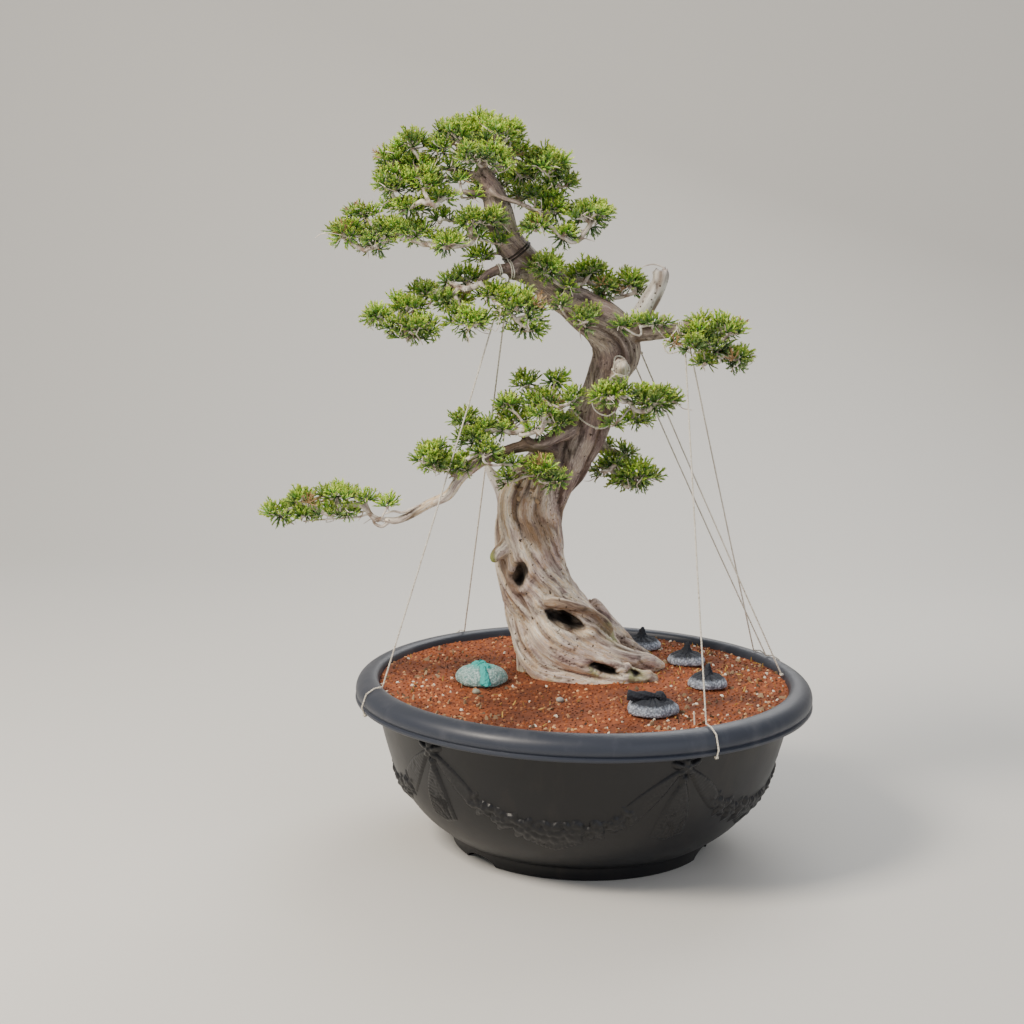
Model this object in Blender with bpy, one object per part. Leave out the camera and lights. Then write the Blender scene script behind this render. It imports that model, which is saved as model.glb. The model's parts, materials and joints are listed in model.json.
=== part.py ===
"""Shimpaku juniper bonsai, guyed down in a round plastic training pot.

The pot stands on its foot ring and holds a bed of soil. The trunk, its roots and its
branches grew as one piece of wood. Each pad of foliage is a body of twigs and needle
tufts that starts at a branch end. Feed pouches lie on the soil, and taut cords run from
the branches over the pot's rim.
"""

import math
import random

import bpy
import numpy as np
from mathutils import Vector
from mathutils.bvhtree import BVHTree

MM = 0.001

# Driving dimensions in millimetres
POT_HEIGHT = 194.0
POT_RADIUS = 260.0
POT_SIDES = 36
FOOT_RADIUS = 147.0
FLOOR_TOP = 22.0
SOIL_TOP = 185.0
GAP = 0.3

TRUNK_SIDES = 12
STUB_RADIUS = 40.0
STUB_DEPTH = 55.0
STUB_PLACE = (-6.0, 47.0)

CORD_RADIUS = 1.0
KNOT_RADIUS = 2.6

TUFT_REACH = 14.0
TUFT_CORE = 3.0
TUFT_SPACING = 16.0
STALK_RADIUS = 0.9
LEAST_STALK = 5.0
HEART = 0.42
TWIG_RADIUS = 1.5
TWIG_STEP = 8.0
LEADER_STEP = 4.0

# Pot outline as radius and height, from the floor of the foot up the outside
FOOT_HEIGHT = 15.5
POT_OUTSIDE = (
    (150.5, 16.0), (165.0, 25.0), (184.0, 41.0), (202.0, 64.0),
    (216.0, 92.0), (227.5, 129.0), (236.0, 167.0),
)
RIM_SECTION = (
    (POT_RADIUS - 5, POT_HEIGHT - 27), (POT_RADIUS, POT_HEIGHT - 23.5), (POT_RADIUS - 1.5, POT_HEIGHT - 12),
    (POT_RADIUS - 9, POT_HEIGHT - 2.5), (POT_RADIUS - 19, POT_HEIGHT), (POT_RADIUS - 25, POT_HEIGHT - 1.5),
)
POT_INSIDE = ((234.5, 202.0), (231.0, 167.0), (210.0, 93.0), (181.0, 48.0), (146.0, FLOOR_TOP))
POT_UNDERSIDE = ((138.0, 17.0), (138.0, 0.0))

FOOT_NOTCHES = (-49.0, 71.0, 191.0)
NOTCH_WIDTH = 50.0
NOTCH_HEIGHT = 8.0
DRAIN_RADIUS = 9.0
DRAIN_PLACE = 85.0

# Festoon relief: five garlands hung between five knots under the rim
KNOT_AZIMUTHS = (-44.0, 28.0, 100.0, 172.0, 244.0)
KNOT_LEVEL = 150.0
GARLAND_LEVEL = 126.0
GARLAND_DROP = 54.0
GARLAND_RADIUS = 6.5
TASSEL_LEAN = 4.0
TASSEL = ((0.0, 4.0), (9.0, 8.5), (20.0, 5.0), (60.0, 9.0), (98.0, 12.0))


def srgb(code):
    """An sRGB hex colour as a linear one."""
    parts = [int(code[i:i + 2], 16) / 255 for i in (0, 2, 4)]
    return [c / 12.92 if c <= 0.04045 else ((c + 0.055) / 1.055) ** 2.4 for c in parts]


def material(name, code, roughness):
    made = bpy.data.materials.new(name)
    made.use_nodes = True
    shader = made.node_tree.nodes["Principled BSDF"]
    shader.inputs["Base Color"].default_value = (*srgb(code), 1.0)
    shader.inputs["Roughness"].default_value = roughness
    shader.inputs["Metallic"].default_value = 0.0
    return made


def clear_scene():
    for obj in list(bpy.data.objects):
        bpy.data.objects.remove(obj, do_unlink=True)


# Shapes in millimetres, each a list of points and a list of faces


def outward(points, faces):
    """The shape with its faces turned to point out."""
    volume = 0.0
    for face in faces:
        a = points[face[0]]
        for i in range(1, len(face) - 1):
            volume += float(np.dot(a, np.cross(points[face[i]], points[face[i + 1]])))
    if volume < 0:
        faces = [tuple(reversed(face)) for face in faces]
    return points, faces


def smooth_path(controls, steps):
    """Rows of numbers along a Catmull-Rom curve through the rows of controls."""
    rows = np.array(controls, float)
    ends = np.vstack([2 * rows[0] - rows[1], rows, 2 * rows[-1] - rows[-2]])
    out = []
    for i in range(1, len(ends) - 2):
        a, b, c, d = ends[i - 1:i + 3]
        for k in range(steps):
            t = k / steps
            out.append(0.5 * (2 * b + (c - a) * t + (2 * a - 5 * b + 4 * c - d) * t * t
                              + (3 * b - a - 3 * c + d) * t ** 3))
    out.append(rows[-1])
    return np.array(out)


def sweep(controls, sides, steps, flutes=0, depth=0.0, twist=0.0):
    """A tube with flat ends along rows of x, y, z and radius. Flutes run along it."""
    path = smooth_path(controls, steps)
    places = path[:, :3]
    tangents = np.gradient(places, axis=0)
    tangents /= np.linalg.norm(tangents, axis=1)[:, None]
    side = np.cross(tangents[0], (0.0, 1.0, 0.0))
    if np.linalg.norm(side) < 0.2:
        side = np.cross(tangents[0], (1.0, 0.0, 0.0))
    points = []
    for row, tangent in zip(path, tangents):
        side = side - tangent * np.dot(side, tangent)
        side /= np.linalg.norm(side)
        other = np.cross(tangent, side)
        turn = twist * len(points) / max(1, len(path) * sides)
        for k in range(sides):
            angle = 2 * math.pi * k / sides
            radius = row[3] * (1 + depth * math.cos(flutes * angle + turn))
            points.append(row[:3] + radius * (math.cos(angle) * side + math.sin(angle) * other))
    faces = []
    rings = len(path)
    for i in range(rings - 1):
        for k in range(sides):
            a = i * sides + k
            b = i * sides + (k + 1) % sides
            faces.append((a, b, b + sides, a + sides))
    faces.append(tuple(range(sides)))
    faces.append(tuple(range((rings - 1) * sides, rings * sides)))
    faces[-2] = tuple(reversed(faces[-2]))
    return outward(points, faces)


def closed_ring(places, radius, sides):
    """A tube closed on itself through the places given."""
    places = np.array(places)
    centre = places.mean(axis=0)
    tangents = np.roll(places, -1, axis=0) - np.roll(places, 1, axis=0)
    points = []
    for place, tangent in zip(places, tangents):
        tangent = tangent / np.linalg.norm(tangent)
        out = place - centre
        out -= tangent * np.dot(out, tangent)
        out /= np.linalg.norm(out)
        up = np.cross(tangent, out)
        for k in range(sides):
            angle = 2 * math.pi * k / sides
            points.append(place + radius * (math.cos(angle) * out + math.sin(angle) * up))
    count = len(places)
    faces = []
    for i in range(count):
        j = (i + 1) % count
        for k in range(sides):
            m = (k + 1) % sides
            faces.append((i * sides + k, i * sides + m, j * sides + m, j * sides + k))
    return outward(points, faces)


def lathe(outline, sides):
    """A body turned round the z axis. Rows with no radius close it at a pole."""
    points = []
    rows = []
    for radius, height in outline:
        if radius == 0:
            rows.append([len(points)] * sides)
            points.append(np.array((0.0, 0.0, height)))
            continue
        rows.append(list(range(len(points), len(points) + sides)))
        for k in range(sides):
            angle = 2 * math.pi * k / sides
            points.append(np.array((radius * math.sin(angle), -radius * math.cos(angle), height)))
    faces = []
    for low, high in zip(rows, rows[1:] + rows[:1]):
        for k in range(sides):
            m = (k + 1) % sides
            face = []
            for index in (low[k], low[m], high[m], high[k]):
                if index not in face:
                    face.append(index)
            if len(face) > 2:
                faces.append(tuple(face))
    return outward(points, faces)


def ellipsoid(centre, radii, lean, rings, sides):
    """A faceted ellipsoid, its x axis leant down to the right by an angle in degrees."""
    c, s = math.cos(math.radians(lean)), math.sin(math.radians(lean))
    points = []
    faces = []
    for i in range(rings + 1):
        fall = math.pi * i / rings
        count = 1 if i in (0, rings) else sides
        for k in range(count):
            angle = 2 * math.pi * k / sides
            x = radii[0] * math.sin(fall) * math.cos(angle)
            y = radii[1] * math.sin(fall) * math.sin(angle)
            z = radii[2] * math.cos(fall)
            points.append(np.array((centre[0] + c * x + s * z, centre[1] + y,
                                    centre[2] - s * x + c * z)))
    for k in range(sides):
        m = (k + 1) % sides
        faces.append((0, 1 + k, 1 + m))
        for i in range(rings - 2):
            a = 1 + i * sides
            faces.append((a + k, a + sides + k, a + sides + m, a + m))
        faces.append((len(points) - 1, len(points) - 1 - sides + m, len(points) - 1 - sides + k))
    return outward(points, faces)


def block(low, high):
    corners = [np.array((x, y, z)) for z in (low[2], high[2])
               for x, y in ((low[0], low[1]), (high[0], low[1]), (high[0], high[1]), (low[0], high[1]))]
    faces = [(3, 2, 1, 0), (4, 5, 6, 7), (0, 1, 5, 4), (1, 2, 6, 5), (2, 3, 7, 6), (3, 0, 4, 7)]
    return outward(corners, faces)


def turned(shape, azimuth):
    """The shape turned round the z axis, by degrees from the front towards the right."""
    points, faces = shape
    c, s = math.cos(math.radians(azimuth)), math.sin(math.radians(azimuth))
    return [np.array((c * p[0] - s * p[1], s * p[0] + c * p[1], p[2])) for p in points], faces


# Objects


def object_of(name, shape, look, smooth=True):
    points, faces = shape
    mesh = bpy.data.meshes.new(name)
    mesh.from_pydata([Vector(p) * MM for p in points], [], faces)
    mesh.materials.append(look)
    obj = bpy.data.objects.new(name, mesh)
    bpy.context.scene.collection.objects.link(obj)
    if smooth:
        mesh.shade_smooth()
        mesh.set_sharp_from_angle(angle=math.radians(40))
    return obj


def combined(obj, shapes, operation):
    """Joins shapes to an object, or cuts them from it, and applies the result."""
    group = bpy.data.collections.new(obj.name + "_pieces")
    bpy.context.scene.collection.children.link(group)
    for i, (points, faces) in enumerate(shapes):
        mesh = bpy.data.meshes.new("piece")
        mesh.from_pydata([Vector(p) * MM for p in points], [], faces)
        group.objects.link(bpy.data.objects.new(f"piece_{i}", mesh))
    boolean = obj.modifiers.new("pieces", "BOOLEAN")
    boolean.operation = operation
    boolean.operand_type = "COLLECTION"
    boolean.collection = group
    boolean.solver = "MANIFOLD"
    bpy.context.view_layer.update()
    result = bpy.data.meshes.new_from_object(obj.evaluated_get(bpy.context.evaluated_depsgraph_get()))
    obj.modifiers.remove(boolean)
    look = obj.data.materials[0]
    obj.data = result
    result.name = obj.name
    result.materials.clear()
    result.materials.append(look)
    result.polygons.foreach_set("material_index", [0] * len(result.polygons))
    for piece in list(group.objects):
        bpy.data.objects.remove(piece, do_unlink=True)
    bpy.data.collections.remove(group)
    return obj


def tree_of(obj):
    """The object's surface in millimetres, for finding what would touch it."""
    mesh = obj.data
    points = [v.co / MM for v in mesh.vertices]
    return BVHTree.FromPolygons(points, [tuple(p.vertices) for p in mesh.polygons])


def tree_of_shape(shape):
    points, faces = shape
    return BVHTree.FromPolygons([Vector(p) for p in points], faces)


# Pot, soil and what lies on it


def pot_radius_at(height):
    """The pot's outer radius at a height, along its outline."""
    heights = [z for _, z in POT_OUTSIDE]
    return float(np.interp(height, heights, [r for r, _ in POT_OUTSIDE]))


def on_pot(azimuth, height, proud=0.0):
    angle = math.radians(azimuth)
    radius = pot_radius_at(height) * math.cos(math.pi / POT_SIDES) + proud
    return np.array((radius * math.sin(angle), -radius * math.cos(angle), height))


def festoon_relief():
    """Garlands, knots and tassels, each sunk in the pot's wall."""
    shapes = []
    span = 360.0 / len(KNOT_AZIMUTHS)
    for start in KNOT_AZIMUTHS:
        garland = []
        for k in range(7):
            t = k / 6
            radius = GARLAND_RADIUS * (0.55 + 0.6 * math.sin(math.pi * t))
            level = GARLAND_LEVEL - GARLAND_DROP * (1 - (2 * t - 1) ** 2)
            place = on_pot(start + 4 + (span - 8) * t, level, -0.3 * radius)
            garland.append((*place, radius))
        shapes.append(sweep(garland, 4, 1))
        tassel = []
        for fall, radius in TASSEL:
            place = on_pot(start + TASSEL_LEAN * fall / TASSEL[-1][0], KNOT_LEVEL - fall, -0.4 * radius)
            tassel.append((*place, radius))
        shapes.append(sweep(tassel, 5, 1))
    return shapes


def make_pot(look):
    outline = [(FOOT_RADIUS - 1.0, 0.0), (FOOT_RADIUS, FOOT_HEIGHT)]
    outline += list(POT_OUTSIDE) + list(RIM_SECTION) + [(0.0, RIM_SECTION[-1][1])]
    outline += [(0.0, POT_UNDERSIDE[0][1])] + list(POT_UNDERSIDE)
    pot = object_of("pot", lathe(outline, POT_SIDES), look)
    combined(pot, festoon_relief(), "UNION")
    hollow = [(0.0, POT_INSIDE[0][1])] + list(POT_INSIDE) + [(0.0, FLOOR_TOP)]
    cutters = [lathe(hollow, POT_SIDES)]
    for azimuth in FOOT_NOTCHES:
        arch = [(-NOTCH_WIDTH / 2, -1.0), (NOTCH_WIDTH / 2, -1.0)]
        for k in range(4):
            angle = math.pi * k / 3
            arch.append((NOTCH_WIDTH / 2 * math.cos(angle), NOTCH_HEIGHT * math.sin(angle)))
        arch = [(x, z) for x, z in arch if z != 0 or abs(x) < NOTCH_WIDTH / 2 + 1]
        near = [np.array((x, -FOOT_RADIUS - 12.0, z)) for x, z in arch]
        far = [np.array((x, -FOOT_RADIUS + 20.0, z)) for x, z in arch]
        count = len(arch)
        faces = [tuple(range(count)), tuple(range(2 * count - 1, count - 1, -1))]
        for k in range(count):
            m = (k + 1) % count
            faces.append((k, k + count, m + count, m))
        cutters.append(turned(outward(near + far, faces), azimuth))
    for azimuth in (30.0, 150.0, 270.0):
        angle = math.radians(azimuth)
        x, y = DRAIN_PLACE * math.sin(angle), -DRAIN_PLACE * math.cos(angle)
        cutters.append(sweep(((x, y, 8.0, DRAIN_RADIUS), (x, y, FLOOR_TOP + 8, DRAIN_RADIUS)), 8, 1))
    combined(pot, cutters, "DIFFERENCE")
    return pot


def make_soil(look):
    """The soil fills the pot to just under the rim, with a plain hole for the trunk."""
    outline = [(0.0, SOIL_TOP), (0.0, FLOOR_TOP + GAP)]
    for radius, height in reversed(POT_INSIDE[1:]):
        outline.append((radius - 2 * GAP, height + (GAP if height == FLOOR_TOP else 0.0)))
    outline.append((230.5, SOIL_TOP))
    soil = object_of("soil", lathe(outline, POT_SIDES), look)
    x, y = STUB_PLACE
    bottom = SOIL_TOP - STUB_DEPTH - GAP
    hole = sweep(((x, y, bottom, STUB_RADIUS + GAP), (x, y, SOIL_TOP + 5, STUB_RADIUS + GAP)), 10, 1)
    combined(soil, [hole], "DIFFERENCE")
    return soil


# Each feed pouch: name, place x and y, radius along x and y, height, knot form, look
POUCHES = (
    ("feed_pouch_teal", (-115.8, -22.4), (30.0, 27.0), 22.0, "tail"),
    ("feed_pouch_front", (74.2, -129.3), (29.0, 26.0), 18.0, "flat"),
    ("feed_pouch_right", (139.6, -10.5), (23.0, 22.0), 16.0, "peak"),
    ("feed_pouch_back_right", (120.8, 94.4), (23.0, 22.0), 15.0, "peak"),
    ("feed_pouch_back", (69.3, 165.7), (25.0, 23.0), 15.0, "peak"),
)


def make_pouch(name, place, radii, height, knot, look):
    """A bag of feed grains, flat where it lies, with its cloth gathered in a knot."""
    base = SOIL_TOP + GAP
    rows = ((0.88, 0.0), (1.0, 0.3), (0.86, 0.68), (0.42, 0.97))
    points = []
    sides = 12
    for scale, rise in rows:
        for k in range(sides):
            angle = 2 * math.pi * k / sides
            points.append(np.array((place[0] + scale * radii[0] * math.cos(angle),
                                    place[1] + scale * radii[1] * math.sin(angle),
                                    base + rise * height)))
    faces = []
    for i in range(len(rows) - 1):
        for k in range(sides):
            a = i * sides + k
            b = i * sides + (k + 1) % sides
            faces.append((a, b, b + sides, a + sides))
    faces.append(tuple(range(sides)))
    faces[-1] = tuple(reversed(faces[-1]))
    faces.append(tuple(range((len(rows) - 1) * sides, len(rows) * sides)))
    pouch = object_of(name, outward(points, faces), look)
    x, y, top = place[0], place[1], base + height
    if knot == "tail":
        extras = [
            sweep(((x - 8, y + 3, top - 3, 3.0), (x, y, top + 2, 5.0), (x + 9, y - 2, top - 3, 3.0)), 6, 1),
            sweep(((x, y - 2, top, 3.5), (x + 4, y - 14, top - 4, 4.5),
                   (x + 5, y - 25, top - 12, 5.0)), 6, 1),
        ]
    elif knot == "flat":
        extras = [
            sweep(((x + 12, y - 3, top - 4, 4.0), (x + 4, y - 4, top + 3, 4.5),
                   (x - 8, y - 6, top + 3, 4.0), (x - 22, y - 8, top, 4.5)), 6, 1),
        ]
    else:
        extras = [sweep(((x - 2, y, top - 5, 9.0), (x, y, top + 2, 4.5), (x + 1, y, top + 8, 2.0)), 6, 1)]
    return combined(pouch, extras, "UNION")


# Wood, as rows of x, y, z and radius

TRUNK = (
    (-2, 49, 162, 62), (-18, 47, 207, 57), (-36, 43, 241, 49), (-50, 40, 269, 43),
    (-59, 39, 293, 40), (-65, 37, 319, 39), (-66, 35, 345, 38), (-66, 34, 368, 38),
    (-63, 32, 388, 38), (-51, 30, 410, 35), (-34, 27, 431, 31), (-22, 25, 449, 28),
    (-9, 24, 467, 27), (2, 22, 490, 24), (11, 20, 511, 22), (18, 18, 535, 22),
    (27, 17, 558, 26), (24, 15, 578, 26), (9, 12, 595, 24), (-8, 10, 606, 22),
    (-33, 5, 625, 19), (-59, -1, 645, 17), (-81, -7, 667, 16), (-97, -13, 689, 15),
    (-104, -18, 714, 14), (-112, -22, 737, 11), (-121, -26, 757, 6), (-128, -28, 775, 3.5),
)
ROOTS = (
    ((-51, 22, 263, 20), (-38, 5, 236, 22), (-10, -1, 214, 20), (22, -1, 202, 16),
     (51, 1, 194, 12), (79, 11, 188, 8)),
    ((-30, 15, 263, 16), (-5, 9, 239, 15), (25, 11, 220, 13), (51, 25, 206, 12),
     (74, 49, 196, 11), (85, 73, 186, 8)),
    ((-69, 27, 251, 18), (-61, 19, 222, 20), (-42, 9, 198, 20), (-15, -1, 188, 17),
     (20, -9, 184, 11), (46, -9, 183, 6)),
    ((-34, 29, 299, 13), (-20, 29, 275, 14), (-8, 31, 263, 13), (5, 34, 251, 12), (17, 39, 240, 12),
     (24, 47, 224, 12), (28, 61, 202, 12), (32, 69, 184, 12)),
    ((0, 72, 251, 20), (30, 96, 217, 17), (57, 121, 192, 11), (74, 136, 183, 6)),
    ((-40, 82, 251, 22), (-45, 111, 212, 18), (-59, 141, 190, 11), (-69, 162, 183, 6)),
    ((-65, 57, 251, 18), (-63, 75, 217, 17), (-67, 92, 194, 11), (-73, 106, 183, 6)),
    ((-85, 35, 301, 14), (-80, 33, 271, 14), (-76, 33, 246, 14), (-67, 35, 220, 13), (-63, 39, 188, 14)),
)
STRAP = ((-50, 11, 271, 6), (-40, 1, 277, 5.5), (-28, -5, 278, 5), (-11, -1, 272, 5),
         (5, 13, 263, 5.5), (18, 25, 251, 7), (28, 37, 237, 8))
BRANCHES = {
    "jin": ((40, 11, 576, 12), (57, 7, 609, 10.5), (67, 5, 627, 9.5), (74, 3, 642, 8.5), (75, 3, 654, 9)),
    "right": ((24, 11, 580, 14), (50, 3, 583, 10), (75, -5, 586, 8), (97, -11, 590, 7), (109, -14, 595, 7)),
    "right_twig": ((91, -11, 588, 5), (103, -22, 586, 4), (111, -30, 582, 3)),
    "front_stub": ((30, 9, 529, 11), (33, -13, 542, 8), (33, -24, 554, 7)),
    "knob": ((-75, -5, 647, 11), (-85, -22, 649, 8), (-87, -29, 645, 6)),
    "left_stub": ((-87, 33, 372, 14), (-98, 31, 398, 8), (-109, 29, 416, 5.5), (-117, 27, 430, 2.5)),
    "centre_left": ((-12, 17, 477, 11), (-36, -9, 469, 8), (-51, -18, 462, 6.5), (-65, -22, 462, 5),
                    (-72, -23, 470, 4), (-73, -22, 481, 3)),
    "long": ((-30, 17, 445, 11), (-59, -14, 456, 7), (-76, -22, 457, 6.5), (-102, -32, 449, 6),
             (-122, -40, 440, 6), (-141, -47, 424, 5.5), (-154, -52, 406, 5.5), (-175, -55, 396, 5),
             (-194, -57, 384, 4.5), (-210, -58, 377, 4), (-224, -58, 378, 3.2)),
    "long_left": ((-105, -14, 702, 8), (-119, -26, 701, 5), (-137, -31, 707, 4.5), (-148, -34, 705, 3.5)),
    "middle_left": ((-67, -3, 651, 10), (-91, -24, 654, 6), (-111, -33, 649, 5), (-125, -37, 637, 4)),
    "long_right": ((-115, -22, 742, 5), (-111, -34, 736, 3.5), (-99, -40, 729, 3), (-83, -41, 725, 3),
                   (-69, -36, 719, 2.6)),
    "upper_left": ((-118, -25, 748, 5), (-139, -26, 756, 3.4), (-163, -24, 760, 2.6)),
    "crown_left": ((-112, -21, 729, 6), (-129, -32, 734, 3.8), (-147, -38, 736, 3)),
    "crown_right": ((-119, -25, 752, 4.5), (-107, -14, 762, 3.2), (-97, -9, 766, 2.6)),
    "shoulder": ((-2, 13, 604, 8), (2, 23, 618, 4.5), (3, 25, 628, 3)),
    "bend_sprig": ((-8, -3, 604, 4), (-9, -14, 602, 2.6)),
    "jin_foot": ((44, 1, 588, 4), (50, -10, 594, 2.6)),
    "small_left": ((-91, -11, 671, 4.5), (-107, -17, 669, 2.6)),
    "front_right": ((18, 11, 519, 8), (30, -11, 517, 5), (38, -24, 513, 3.4)),
    "low_left": ((-105, -33, 447, 4.5), (-117, -42, 451, 2.8)),
    "trunk_front": ((-38, 3, 435, 6), (-46, -11, 433, 3)),
    "back_right": ((6, 37, 457, 9), (22, 49, 445, 5), (33, 46, 442, 3.4)),
    "crown_back": ((-109, -16, 723, 6), (-110, 7, 731, 4), (-109, 27, 738, 3)),
    "middle_back": ((-44, 11, 633, 8), (-51, 39, 637, 4.4), (-55, 59, 641, 3)),
    "lower_back": ((-6, 39, 463, 9), (-10, 61, 465, 5), (-10, 69, 465, 3.4)),
}
HOLLOWS = (
    ((-74, -1, 308), (8, 24, 14), 8.0),
    ((-23, -9, 257), (24, 34, 9), 24.0),
    ((26, -16, 202), (18, 16, 5.5), 18.0),
    ((57, -11, 197), (13, 14, 4), 14.0),
)


def make_trunk(look):
    """Trunk, roots and branches as one piece of wood, cut level where it meets the soil."""
    trunk = object_of("trunk", sweep(TRUNK, TRUNK_SIDES, 1, 4, 0.05, 9.0), look)
    grown = [sweep(root, 6, 1) for root in ROOTS]
    grown += [sweep(branch, 6 if branch[0][3] > 7 else 4, 1) for branch in BRANCHES.values()]
    combined(trunk, grown, "UNION")
    level = SOIL_TOP + GAP
    cutters = [ellipsoid(centre, radii, lean, 5, 8) for centre, radii, lean in HOLLOWS]
    cutters.append(block((-300.0, -200.0, 0.0), (300.0, 300.0, level)))
    combined(trunk, cutters, "DIFFERENCE")
    x, y = STUB_PLACE
    bottom = SOIL_TOP - STUB_DEPTH
    stub = sweep(((x, y, bottom, STUB_RADIUS), (x, y, level + 15, STUB_RADIUS)), 10, 1)
    combined(trunk, [sweep(STRAP, 6, 1), stub], "UNION")
    return trunk


# Cords and ties

# Each cord: name, its tied end, the rim's azimuth from the front, and whether it goes over the rim
GUYS = (
    ("guy_cord_left_front", (-95.0, -32.0, 642.0), -68.0, True),
    ("guy_cord_left_back", (-92.1, -19.4, 642.4), -141.5, True),
    ("guy_cord_right_front", (102.0, -16.5, 578.0), 32.6, True),
    ("guy_cord_right_back", (105.9, -8.6, 580.0), 121.8, True),
    ("guy_cord_trunk_back", (46.5, 41.0, 550.3), 115.5, True),
    ("guy_cord_trunk_right", (53.5, 31.1, 564.1), 98.3, False),
)
OVER_RIM = (
    (POT_RADIUS - 21.5, POT_HEIGHT + 2), (POT_RADIUS - 12.5, POT_HEIGHT + 1), (POT_RADIUS - 3, POT_HEIGHT - 5),
    (POT_RADIUS + 2.2, POT_HEIGHT - 20), (POT_RADIUS - 2, POT_HEIGHT - 30.5),
)
INSIDE_RIM = ((POT_RADIUS - 28.9, POT_HEIGHT - 5),)
GUY_STEPS = 3
GUY_SAG = 2.5


def guy_route(top, azimuth, over):
    """The cord's centre line, from its tied end down to the rim and under its lip."""
    angle = math.radians(azimuth)
    rim = [np.array((r * math.sin(angle), -r * math.cos(angle), z))
           for r, z in (OVER_RIM if over else INSIDE_RIM)]
    start = np.array(top)
    route = []
    for k in range(GUY_STEPS):
        t = k / GUY_STEPS
        place = start + (rim[0] - start) * t
        place[2] -= GUY_SAG * 4 * t * (1 - t)
        route.append(place)
    return route + rim


def make_cord(name, route, look):
    """A taut cord with a knot at each end, thicker than the cord."""
    curve = bpy.data.curves.new(name, "CURVE")
    curve.dimensions = "3D"
    curve.bevel_depth = CORD_RADIUS * MM
    curve.bevel_resolution = 2
    curve.use_fill_caps = True
    ends = [np.array(p) for p in route]
    first = (ends[1] - ends[0]) / np.linalg.norm(ends[1] - ends[0])
    last = (ends[-2] - ends[-1]) / np.linalg.norm(ends[-2] - ends[-1])
    places = [ends[0], ends[0] + first * 2.5, ends[0] + first * 5.0] + ends[1:-1]
    places += [ends[-1] + last * 5.0, ends[-1] + last * 2.5, ends[-1]]
    knot = KNOT_RADIUS / CORD_RADIUS
    radii = [0.5 * knot, knot, 1.0] + [1.0] * (len(ends) - 2) + [1.0, knot, 0.5 * knot]
    spline = curve.splines.new("POLY")
    spline.points.add(len(places) - 1)
    for point, place, radius in zip(spline.points, places, radii):
        point.co = (*(Vector(place) * MM), 1.0)
        point.radius = radius
    curve.materials.append(look)
    cord = bpy.data.objects.new(name, curve)
    bpy.context.scene.collection.objects.link(cord)
    return cord, sweep([(*p, CORD_RADIUS * r) for p, r in zip(places, radii)], 8, 1)


# Each tie: name, a point on the wood's axis, the way the axis runs, the sag at its front, its reach
TIES = (
    ("trunk_tie", (7.9, 21.2, 494.8), (0.3, 0.0, 1.0), 18.0, 36.0),
    ("stub_tie", (32.7, -17.5, 544.3), (0.0, -0.9, 0.5), 0.0, 20.0),
    ("upper_wire", (-84.2, -7.6, 672.1), (-0.6, -0.2, 0.8), 0.0, 26.0),
)
TIE_STEPS = 14
TIE_CLEARANCES = (0.3, 0.5, 0.7, 0.9, 1.2, 1.6, 2.2, 3.0, 4.5)


def make_tie(name, centre, axis, sag, reach, wood, look):
    """A loop that follows the wood's surface all round, just clear of it."""
    centre = np.array(centre)
    axis = np.array(axis) / np.linalg.norm(axis)
    across = np.cross(axis, (0.0, 1.0, 0.0)) if abs(axis[1]) < 0.7 else np.cross(axis, (1.0, 0.0, 0.0))
    across /= np.linalg.norm(across)
    other = np.cross(axis, across)
    for clearance in TIE_CLEARANCES:
        places = []
        for k in range(TIE_STEPS):
            angle = 2 * math.pi * k / TIE_STEPS
            way = math.cos(angle) * across + math.sin(angle) * other
            base = centre - np.array((0.0, 0.0, sag * max(0.0, -way[1])))
            hit = wood.ray_cast(Vector(base + way * reach), Vector(-way), reach)[0]
            found = np.linalg.norm(np.array(hit) - base) if hit is not None else reach / 2
            places.append(base + way * (found + CORD_RADIUS + clearance))
        rounded = [(places[i - 1] + 2 * places[i] + places[(i + 1) % TIE_STEPS]) / 4
                   for i in range(TIE_STEPS)]
        if not tree_of_shape(closed_ring(rounded, CORD_RADIUS + GAP, 5)).overlap(wood):
            break
    return object_of(name, closed_ring(rounded, CORD_RADIUS, 5), look)


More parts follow.
